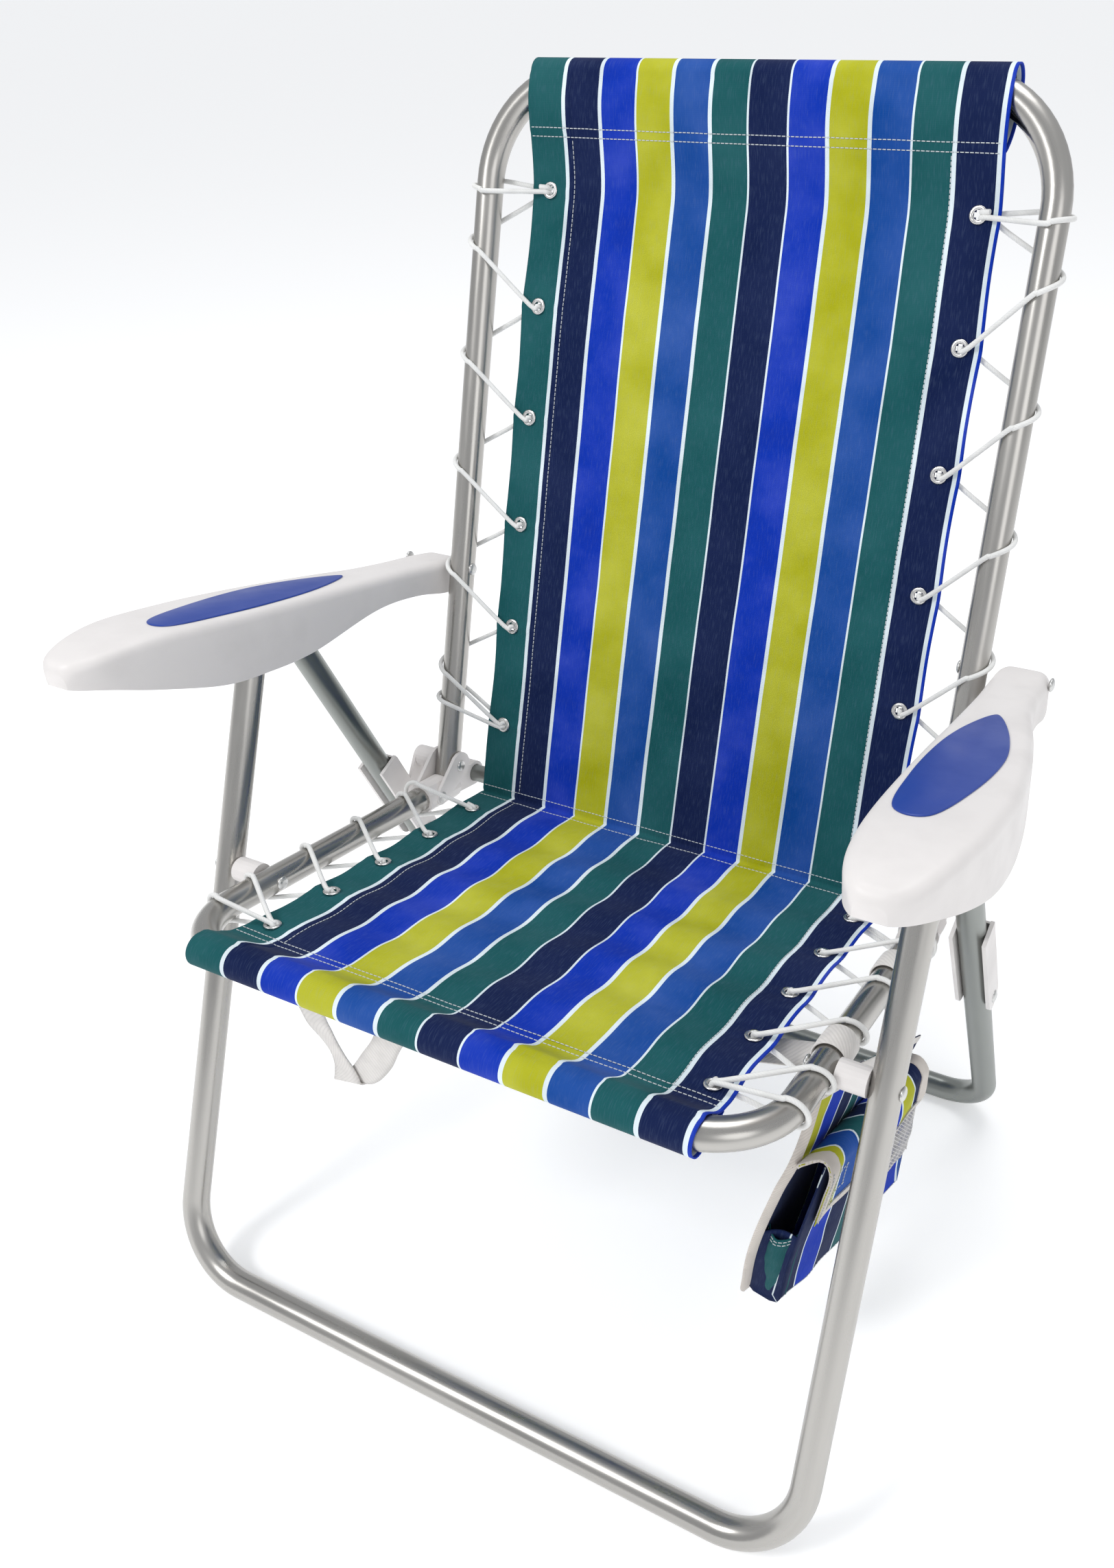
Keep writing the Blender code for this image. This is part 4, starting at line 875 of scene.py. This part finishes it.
rivetSet("seatRivets", "seat",
         [(seatPivot, rail - onTube, -1), (seatPivot, leg + onTube, 1), (backPivot, rail - onBracket, -1),
          (bracketRivet, rail - onBracket, -1), (bracketRivet, rail + onBracket, 1),
          (rearHinge, leg - onBracket, -1), (rearHinge, leg + onBracket, 1)],
         ["seat_leg_rivet", "back_hinge_rivet", "bracket_rivet", "rear_leg_rivet"])
rivetSet("armRivets", "back", [(armPivot, rail - onTube, -1), (armPivot, armFace, 1)], ["arm_rivet"])
print("rivets made")

# side bag, laid out from the corners of its mouth and its bottom: inner front, outer front, outer rear, inner rear
bag = {
    "mouth": [(0.2640, -0.290, 0.291), (0.2860, -0.279, 0.288), (0.3060, -0.100, 0.238), (0.2860, -0.100, 0.238)],
    "bottom": [(0.2150, -0.285, 0.094), (0.2500, -0.292, 0.102), (0.2950, -0.124, 0.088), (0.2660, -0.118, 0.088)],
    "yoke": [(0.2742, -0.2503, 0.3555), (0.3020, -0.0960, 0.2680)],
    "cloth": 0.0010, "bulge": 0.0040, "bow": 0.0110, "slot": 0.44, "flapLength": 0.172, "flapRise": 0.0064,
    "flapDrop": (0.42, 0.24), "loopWidth": 0.028, "loopHalf": 0.0009, "lowEdge": 0.955,
    "loops": (("front", 0.2384, 5, 0.0), ("rear", 0.1105, 14, 0.0175)),    # place on the rail, rows below it, lean
}
bagTop = [Vector((x, chair["creaseY"] + y, z)) for x, y, z in bag["mouth"]]
bagLow = [Vector((x, chair["creaseY"] + y, z)) for x, y, z in bag["bottom"]]


def sheetFrom(name, surface, us, vs, thickness, material, keep=None):
    # surface gives a point for each (u, v); the map is in metres along the cloth
    points = [surface(u, v) for v in vs for u in us]
    wide, uvs, down = len(us), [], 0.0
    for k in range(len(vs)):
        across = 0.0
        if k:
            down += (points[k * wide + wide // 2] - points[(k - 1) * wide + wide // 2]).length
        for j in range(wide):
            if j:
                across += (points[k * wide + j] - points[k * wide + j - 1]).length
            uvs.append((across, down))
    faces = [(k * wide + j, k * wide + j + 1, (k + 1) * wide + j + 1, (k + 1) * wide + j)
             for k in range(len(vs) - 1) for j in range(wide - 1)
             if keep is None or keep((us[j] + us[j + 1]) / 2, (vs[k] + vs[k + 1]) / 2)]
    made = addObject(name, meshFrom(name, points, faces, uvs), material)
    return thicken(made, thickness)


def bagRing(v):
    # the bag's four corners at v, from 0 at its mouth to 1 at its bottom
    corners = [a.lerp(b, v) for a, b in zip(bagTop, bagLow)]
    bow = bag["bow"] * math.sin(math.pi * min(1.0, v * 1.02)) ** 1.2
    corners[0] += Vector((-0.35 * bow, -bow, 0))
    corners[1] += Vector((-0.10 * bow, -0.75 * bow, 0))
    return corners


def shellAt(u, v):
    # u runs 0-1 front gusset, 1-2 outer panel, 2-3 rear gusset, 3-4 inner panel
    closing = max(0.0, (v - bag["lowEdge"]) / 0.045)
    corners = bagRing(min(v, 0.985))
    side, share = min(int(u), 3), u - min(int(u), 3)
    a, b = corners[side], corners[(side + 1) % 4]
    p = a.lerp(b, share)
    out = (b - a).cross(Vector((0, 0, -1))).normalized()
    if out.dot(p - (corners[0] + corners[2]) / 2) < 0:
        out = -out
    belly = math.sin(math.pi * share) * math.sin(math.pi * min(1.0, v)) ** 0.7
    folds = noise.fractal(Vector((p.y * 16, p.z * 9, side * 3.1)), 1.0, 2.0, 3)
    if side == 1:
        p += out * (bag["bulge"] * belly + 0.0016 * folds)
        frontFolds = math.exp(-((share - 0.16) / 0.16) ** 2)
        p += out * 0.0030 * math.sin(share * 15 + v * 5) * frontFolds * (v > 0.2) * (v - 0.2)
    elif side == 3:
        p += out * (0.0025 * belly + 0.0014 * folds)
    else:
        p -= out * 0.0050 * belly
    if closing:
        middle = (corners[0] + corners[1] + corners[2] + corners[3]) / 4
        across = (corners[1] - corners[0]).normalized()
        p -= across * (p - middle).dot(across) * min(1.0, closing ** 2) * 0.97
        p.z -= 0.0050 * math.sin(closing * math.pi / 2)
    return p


shellU = sorted({round(side + k / parts, 4) for side, parts in enumerate((8, 44, 8, 44)) for k in range(parts + 1)})
bagShell = sheetFrom("bagShell", shellAt, shellU, steps(46), bag["cloth"], bagCloth,
                     lambda u, v: not (u < 1.0 and v < bag["slot"]))
pieceOn(bagShell, "bag", "sling_cloth", "bag_pouch")


def edgeBand(name, surface, path, inward, width, thickness, material, parts=4):
    # a binding on a surface, along path, a line of (u, v), and as wide as width in the direction inward
    rows = []
    for (u0, v0), (du, dv) in zip(path, inward):
        u1, v1 = u0 + du * width, v0 + dv * width
        rows.append([surface(u0 + (u1 - u0) * k / parts, v0 + (v1 - v0) * k / parts) for k in range(parts + 1)])
    points, uvs, walked = [], [], 0.0
    for k, row in enumerate(rows):
        if k:
            walked += (row[0] - rows[k - 1][0]).length
        points += row
        uvs += [(walked, j * width / parts) for j in range(parts + 1)]
    made = addObject(name, meshFrom(name, points, gridFaces(len(rows), parts + 1), uvs), material)
    thicken(made, thickness)
    rim = made.modifiers.new("rim", "BEVEL")
    rim.width, rim.segments = thickness * 0.45, 2
    rim.limit_method, rim.angle_limit = "ANGLE", math.radians(60)
    return settle(made)


# inner panel's yoke, from the mouth up to the rail, with webbing along its top
def yokeAt(u, v):
    top = [Vector((x, chair["creaseY"] + y, z)) for x, y, z in bag["yoke"]]
    low = bagTop[0].lerp(bagTop[3], u) + Vector((0.0004, 0, -0.006))
    high = top[0].lerp(top[1], u)
    p = low.lerp(high, v)
    p.x += 0.0016 * math.sin(math.pi * v) * (1 + noise.noise(Vector((u * 7, v * 3, 2))))
    return p


yoke = sheetFrom("bagYoke", yokeAt, steps(40), steps(10), bag["cloth"], yokeCloth)
pieceOn(yoke, "bag", "sling_cloth")
yokeTrim = edgeBand("bagYokeTrim", yokeAt, [(u, 1.0) for u in steps(40)], [(0, -1)] * 41, 0.24, 0.0024, webbing)
pieceOn(yokeTrim, "bag", "sling_cloth")


# binding down the front edge of the inner panel, from the rail to the bottom corner
edgeLine = [yokeAt(0.0, v) for v in steps(12, 1.0, 0.10)] + [bagRing(v)[0] for v in steps(36, 0.04, 1.0)]
edgeLine = smoothLine([p + Vector((-0.0012, -0.0022, 0)) for p in edgeLine[::4]] + [edgeLine[-1]], 6)
frontBinding = sweep("bagFrontBinding", edgeLine, bandSection(0.0100, 0.0026), binding,
                     up=Vector((0.72, -0.66, 0.20)))
pieceOn(frontBinding, "bag", "sling_cloth")


# flap, hinged along the inner top edge, over the mouth and down the outer face
flapAcross = (bagTop[3] - bagTop[0]).normalized()
flapOut = (Vector((1, 0, 0)) - flapAcross * flapAcross.x).normalized()
flapStart = bagTop[0] + flapOut * 0.0042 + Vector((0, 0, 0.0016))
flapEnd = bagTop[3] + flapOut * 0.0042 + Vector((0, 0, 0.0016))


def flapAt(u, v):
    hinge = flapStart.lerp(flapEnd, u)
    lip = bagTop[1].lerp(bagTop[2], u)
    drop = bag["flapDrop"][0] + (bag["flapDrop"][1] - bag["flapDrop"][0]) * u
    fall = lip.lerp(bagLow[1].lerp(bagLow[2], u), drop)
    fall = fall + Vector((0, 0.006 * (1 - u) ** 2, 0)) + flapOut * (0.0062 + 0.0012 * (1 - u))
    rise = bag["flapRise"] * (1.15 - 0.35 * u)
    line = [hinge, hinge + flapOut * 0.0060 + Vector((0, 0, rise)),
            lip - flapOut * 0.0010 + Vector((0, 0, rise * 1.05)), lip + flapOut * 0.0062 + Vector((0, 0, -0.0050)),
            lip.lerp(fall, 0.5) + flapOut * 0.0042, fall]
    marks = (0.0, 0.09, 0.19, 0.29, 0.64, 1.0)      # where v passes each point of the line
    k = max(i for i in range(5) if v >= marks[i] - 1e-9)
    ring = [line[0] * 2 - line[1]] + line + [line[5] * 2 - line[4]]
    p = spline(*ring[k:k + 4], (v - marks[k]) / (marks[k + 1] - marks[k]))
    ripple = noise.fractal(Vector((u * 3.1, v * 1.6, 7.7)), 1.0, 2.0, 2)
    return p + flapOut * (0.0014 * ripple + 0.0010 * math.sin(u * 17 + v * 3)) * min(1.0, v * 2.5)


flap = sheetFrom("bagFlap", flapAt, steps(56), steps(40), bag["cloth"], flapCloth)
pieceOn(flap, "bag_flap", "sling_cloth", "bag_flap")
# down one side of the flap, round a corner, along its lower edge, round the other corner and up
flapEdge = [(0.0, v, 1, 0) for v in steps(26, 0.0, 0.90)]
flapEdge += [(0.055 * (1 - math.cos(a)), 0.90 + 0.10 * math.sin(a), math.cos(a), -1.15 * math.sin(a))
             for a in angles(15, 90, 15)]
flapEdge += [(u, 1.0, 0, -1.15) for u in steps(30, 0.055, 0.945)]
flapEdge += [(1 - 0.055 * (1 - math.sin(a)), 0.90 + 0.10 * math.cos(a), -math.sin(a), -1.15 * math.cos(a))
             for a in angles(15, 90, 15)]
flapEdge += [(1.0, v, -1, 0) for v in steps(26, 0.90, 0.0)]
flapBinding = edgeBand("bagFlapBinding", flapAt, [edge[:2] for edge in flapEdge], [edge[2:] for edge in flapEdge],
                       0.078, 0.0030, binding)
pieceOn(flapBinding, "bag_flap", "sling_cloth")

# teal pocket sewn over the front gusset, with a scalloped hem
gussetOut = Vector((-0.25, -1, 0)).normalized()


def pocketAt(u, v):
    down = 0.43 + 0.53 * v
    ring = bagRing(down)
    a = ring[0].lerp(ring[3], 0.075)
    b = ring[1].lerp(ring[2], 0.055)
    p = a.lerp(b, u) + gussetOut * (0.0105 * math.sin(math.pi * u) ** 0.8 * (1 - 0.35 * v) + 0.0022)
    p.z -= 0.0060 * math.sin(math.pi * u) * (1 - v) ** 3
    return p + gussetOut * 0.0012 * noise.noise(Vector((u * 4, v * 6, 5)))


pocket = sheetFrom("bagTealPocket", pocketAt, steps(28), steps(36), bag["cloth"], tealCloth)
pieceOn(pocket, "bag", "sling_cloth", "bag_teal_pocket")

# net pocket toward the rear of the outer face, with its cord in crossing rows
netSizes, cells = {"Cord": 0.00042}, 17


def netAt(u, v):
    a = shellAt(1.62 + 0.40 * u, 0.22 + 0.46 * v)
    return a + flapOut * (0.0036 + 0.0022 * math.sin(math.pi * u) * math.sin(math.pi * v)
                          + 0.0012 * noise.noise(Vector((u * 6, v * 5, 1))))


def netTree():
    tree, start, end = newTree("netCords", netSizes)
    line = addNode(tree, "GeometryNodeMeshToCurve", {"Mesh": start.outputs["Geometry"]})
    ring = addNode(tree, "GeometryNodeCurvePrimitiveCircle", {"Resolution": 5, "Radius": start.outputs["Cord"]})
    grown = addNode(tree, "GeometryNodeCurveToMesh", {"Curve": line.outputs[0], "Profile Curve": ring.outputs[0],
                                                      "Fill Caps": True})
    finishTree(tree, end, grown.outputs[0], netCord)
    return tree


netLines = []
for k in range(-cells, cells + 1):
    forward = [netAt(j / cells, (j - k) / cells) for j in range(cells + 1) if 0 <= (j - k) <= cells]
    backward = [netAt(1 - j / cells, (j - k) / cells) for j in range(cells + 1) if 0 <= (j - k) <= cells]
    netLines += [line for line in (forward, backward) if len(line) > 1]
net = runTree("bagNet", linesMesh("bagNet", netLines), netTree(), netSizes)
pieceOn(net, "bag", "sling_cloth", "bag_net_pocket")
netTrim = edgeBand("bagNetTrim", netAt, [(u, 0.0) for u in steps(24)], [(0, 1)] * 25, 0.10, 0.0020, binding)
pieceOn(netTrim, "bag", "sling_cloth")


# webbing loops that hang the bag on the rail
def loopSection():
    half, t = bag["loopWidth"] / 2, bag["loopHalf"]
    return [(-half + t, -t), (half - t, -t), (half, -t * 0.3), (half, t * 0.3), (half - t, t), (0, t * 1.35),
            (-half + t, t), (-half, t * 0.3), (-half, -t * 0.3)]


railWay = Vector((0, -math.cos(chair["seatTilt"]), math.sin(chair["seatTilt"])))
for label, at, reach, leanOut in bag["loops"]:
    # up to the rail, round it and down again, with the two ends of the webbing together
    ring, lean = chair["tubeR"] + 2 * bag["loopHalf"], leanOut / reach
    centre = Vector((rail, *seatAt(at)))
    around = [(ring * math.sin(a), ring * math.cos(a)) for a in angles(-168, 169, 8)]
    inner = [(-0.0030 + 0.0014 * min(1, k / 4) + lean * k, -ring - 0.004 * k) for k in range(reach, 0, -1)]
    outer = [(0.0030 - 0.0014 * min(1, k / 4) + lean * k, -ring - 0.004 * k) for k in range(1, reach + 1)]
    path = [centre + Vector((x, 0, 0)) + seatUp * n for x, n in inner + around + outer]
    ups = []
    for k in range(len(path)):
        a, b = path[max(k - 1, 0)], path[min(k + 1, len(path) - 1)]
        ups.append(railWay.cross(b - a).normalized() * -1)
    if (ups[len(ups) // 2] - Vector((0, 0, 1))).length > 1:
        ups = [-n for n in ups]
    loop = sweep(f"bagLoop{label.title()}", path, loopSection(), webbing, up=ups)
    pieceOn(loop, "bag", "sling_cloth", f"bag_strap_{label}")

# stitching on the bag, in rows on the flap's binding and a square on its cloth
onBinding, onCloth = flapOut * 0.0019, flapOut * 0.0008
flapLines = [[flapAt(u, 0.905) + onBinding for u in steps(36, 0.085, 0.915)],
             [flapAt(0.085, v) + onBinding for v in steps(20, 0.30, 0.90)],
             [flapAt(0.013, v) + onBinding for v in steps(20, 0.30, 0.96)]]
square = [(0.110, 0.48), (0.195, 0.48), (0.195, 0.76), (0.110, 0.76), (0.110, 0.48)]
for (u0, v0), (u1, v1) in zip(square, square[1:]):
    flapLines.append([flapAt(u0 + (u1 - u0) * k / 6, v0 + (v1 - v0) * k / 6) + onCloth for k in range(7)])
pieceOn(runTree("bagFlapStitches", linesMesh("bagFlapStitches", flapLines), stitchMaker, stitches),
        "bag_flap", "sling_cloth")
pocketOut = gussetOut * 0.0008
bagLines = [[pocketAt(u, v) + pocketOut for u in steps(24, 0.04, 0.96)] for v in (0.035, 0.085)]
bagLines += [[pocketAt(0.05, v) + pocketOut for v in steps(24, 0.05, 0.98)]]
bagLines += [[shellAt(1.02 + 0.96 * k / 50, bag["lowEdge"]) + onCloth for k in range(51)]]
pieceOn(runTree("bagStitches", linesMesh("bagStitches", bagLines), stitchMaker, stitches), "bag", "sling_cloth")
print("bag made")

# carry strap: a flat band that hangs in a fold before the seat's left and runs on to the right rail
strap = {
    "near": [((-0.1950, 0.3400), (-0.1640, 0.3380)), ((-0.1900, 0.3170), (-0.1615, 0.3140)),
             ((-0.1855, 0.3010), (-0.1590, 0.3030)), ((-0.1740, 0.2868), (-0.1560, 0.2886)),
             ((-0.1675, 0.2735), (-0.1510, 0.2735)), ((-0.1672, 0.2580), (-0.1460, 0.2629)),
             ((-0.1710, 0.2440), (-0.1425, 0.2510)), ((-0.1736, 0.2351), (-0.1411, 0.2429))],
    "far": [((-0.1690, 0.2385), (-0.1370, 0.2420)), ((-0.1590, 0.2470), (-0.1270, 0.2475)),
            ((-0.1458, 0.2639), (-0.1150, 0.2590)), ((-0.1308, 0.2855), (-0.0995, 0.2800)),
            ((-0.1165, 0.3055), (-0.0867, 0.3035)), ((-0.1040, 0.3260), (-0.0740, 0.3230)),
            ((-0.0900, 0.3400), (-0.0600, 0.3370))],
    "under": [(-0.0300, -0.3160, 0.3455), (0.0000, -0.3050, 0.3500), (0.0600, -0.2850, 0.3480),
              (0.1200, -0.2650, 0.3460), (0.1800, -0.2450, 0.3460), (0.2300, -0.2320, 0.3480),
              (0.2580, -0.2260, 0.3500)],
    "width": 0.027, "thick": 0.0015, "y": -0.3335,
}
pairs = []         # the two edges of the band, from one end to the other
for key, shift in (("near", -0.0016), ("far", 0.0016)):
    pairs += [[Vector((x, chair["creaseY"] + strap["y"] + shift, z)) for x, z in pair] for pair in strap[key]]
for x, y, z in strap["under"]:
    pairs.append((Vector((x - 0.004, chair["creaseY"] + y + 0.0125, z + 0.0005)),
                  Vector((x + 0.004, chair["creaseY"] + y - 0.0125, z - 0.0005))))
leftLine = smoothLine([a for a, _ in pairs], 5)
rightLine = smoothLine([b for _, b in pairs], 5)
strapPoints, strapUvs, walked = [], [], 0.0
for k, (a, b) in enumerate(zip(leftLine, rightLine)):
    middle = (a + b) / 2
    walked += (middle - last).length if k else 0.0
    last = middle
    for j in range(5):
        strapPoints.append(a.lerp(b, j / 4))
        strapUvs.append((walked, strap["width"] * j / 4))
strapMesh = meshFrom("carryStrap", strapPoints, gridFaces(len(leftLine), 5), strapUvs)
carry = thicken(addObject("carryStrap", strapMesh, webbing), strap["thick"])
pieceOn(carry, "seat", "sling_cloth", "carry_strap")
print("strap made")

# CAD pieces whose shape is right take a finer material
moulded = ("hinge_bracket", "rear_leg_clevis", "front_leg_spacer", "hinge_spacer", "leg_top_lug", "rear_leg_tip",
           "recline_rack")
for name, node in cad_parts.items():
    if name.startswith(moulded + ("arm_pin",)):
        for slot in node.material_slots:
            slot.material = whitePlastic if name.startswith(moulded) else rivetSteel

# floor, light and camera
studio = {"floor": 60, "floorWhite": 0.97, "floorGlow": 0.30, "world": (0.95, 0.97, 1.0, 1), "worldStrength": 0.62}
bpy.ops.mesh.primitive_plane_add(size=studio["floor"])
floor = bpy.context.object
floor.name = "floor"
floorPaint, _, floorShader = newMaterial("floorPaint", 0.9, 0.0, (studio["floorWhite"],) * 3 + (1.0,))
floorShader.inputs["Emission Color"].default_value = (1.0, 1.0, 1.0, 1.0)
floorShader.inputs["Emission Strength"].default_value = studio["floorGlow"]
floor.data.materials.append(floorPaint)


def softLight(name, place, aim, size, power):
    light = bpy.data.lights.new(name, "AREA")
    light.shape, light.size, light.energy = "DISK", size, power
    made = bpy.data.objects.new(name, light)
    bpy.context.scene.collection.objects.link(made)
    made.location = place
    made.rotation_euler = (Vector(aim) - Vector(place)).to_track_quat("-Z", "Y").to_euler()


softLight("keyLight", (-1.6, -2.4, 3.4), (0, 0, 0.4), 1.3, 62)
softLight("fillLight", (2.6, -1.8, 1.8), (0, 0, 0.5), 2.0, 14)
softLight("topLight", (0.2, 0.8, 3.2), (0, 0, 0.5), 1.6, 26)
world = bpy.data.worlds.new("studio")
bpy.context.scene.world = world
world.use_nodes = True
sky = world.node_tree.nodes["Background"].inputs
sky["Color"].default_value, sky["Strength"].default_value = studio["world"], studio["worldStrength"]
bpy.context.scene.view_settings.view_transform = "Standard"

camera = {"place": (0.5367, -0.7757, 1.1094), "azimuth": 27.70, "elevation": 34.24, "roll": -2.53, "lens": 29.11,
          "shift": (-0.1153, -0.0125)}
azimuth, elevation, roll = (math.radians(camera[k]) for k in ("azimuth", "elevation", "roll"))
backward = Vector((math.sin(azimuth) * math.cos(elevation), -math.cos(azimuth) * math.cos(elevation),
                   math.sin(elevation)))
level = Vector((math.cos(azimuth), math.sin(azimuth), 0))
upright = backward.cross(level)
right = level * math.cos(roll) + upright * math.sin(roll)
upward = upright * math.cos(roll) - level * math.sin(roll)
lens = bpy.data.cameras.new("camera")
lens.lens, lens.sensor_width = camera["lens"], 36
lens.shift_x, lens.shift_y = camera["shift"]
eye = bpy.data.objects.new("camera", lens)
bpy.context.scene.collection.objects.link(eye)
eye.matrix_world = Matrix.Translation(camera["place"]) @ Matrix((right, upward, backward)).transposed().to_4x4()
bpy.context.scene.camera = eye
print("studio made")
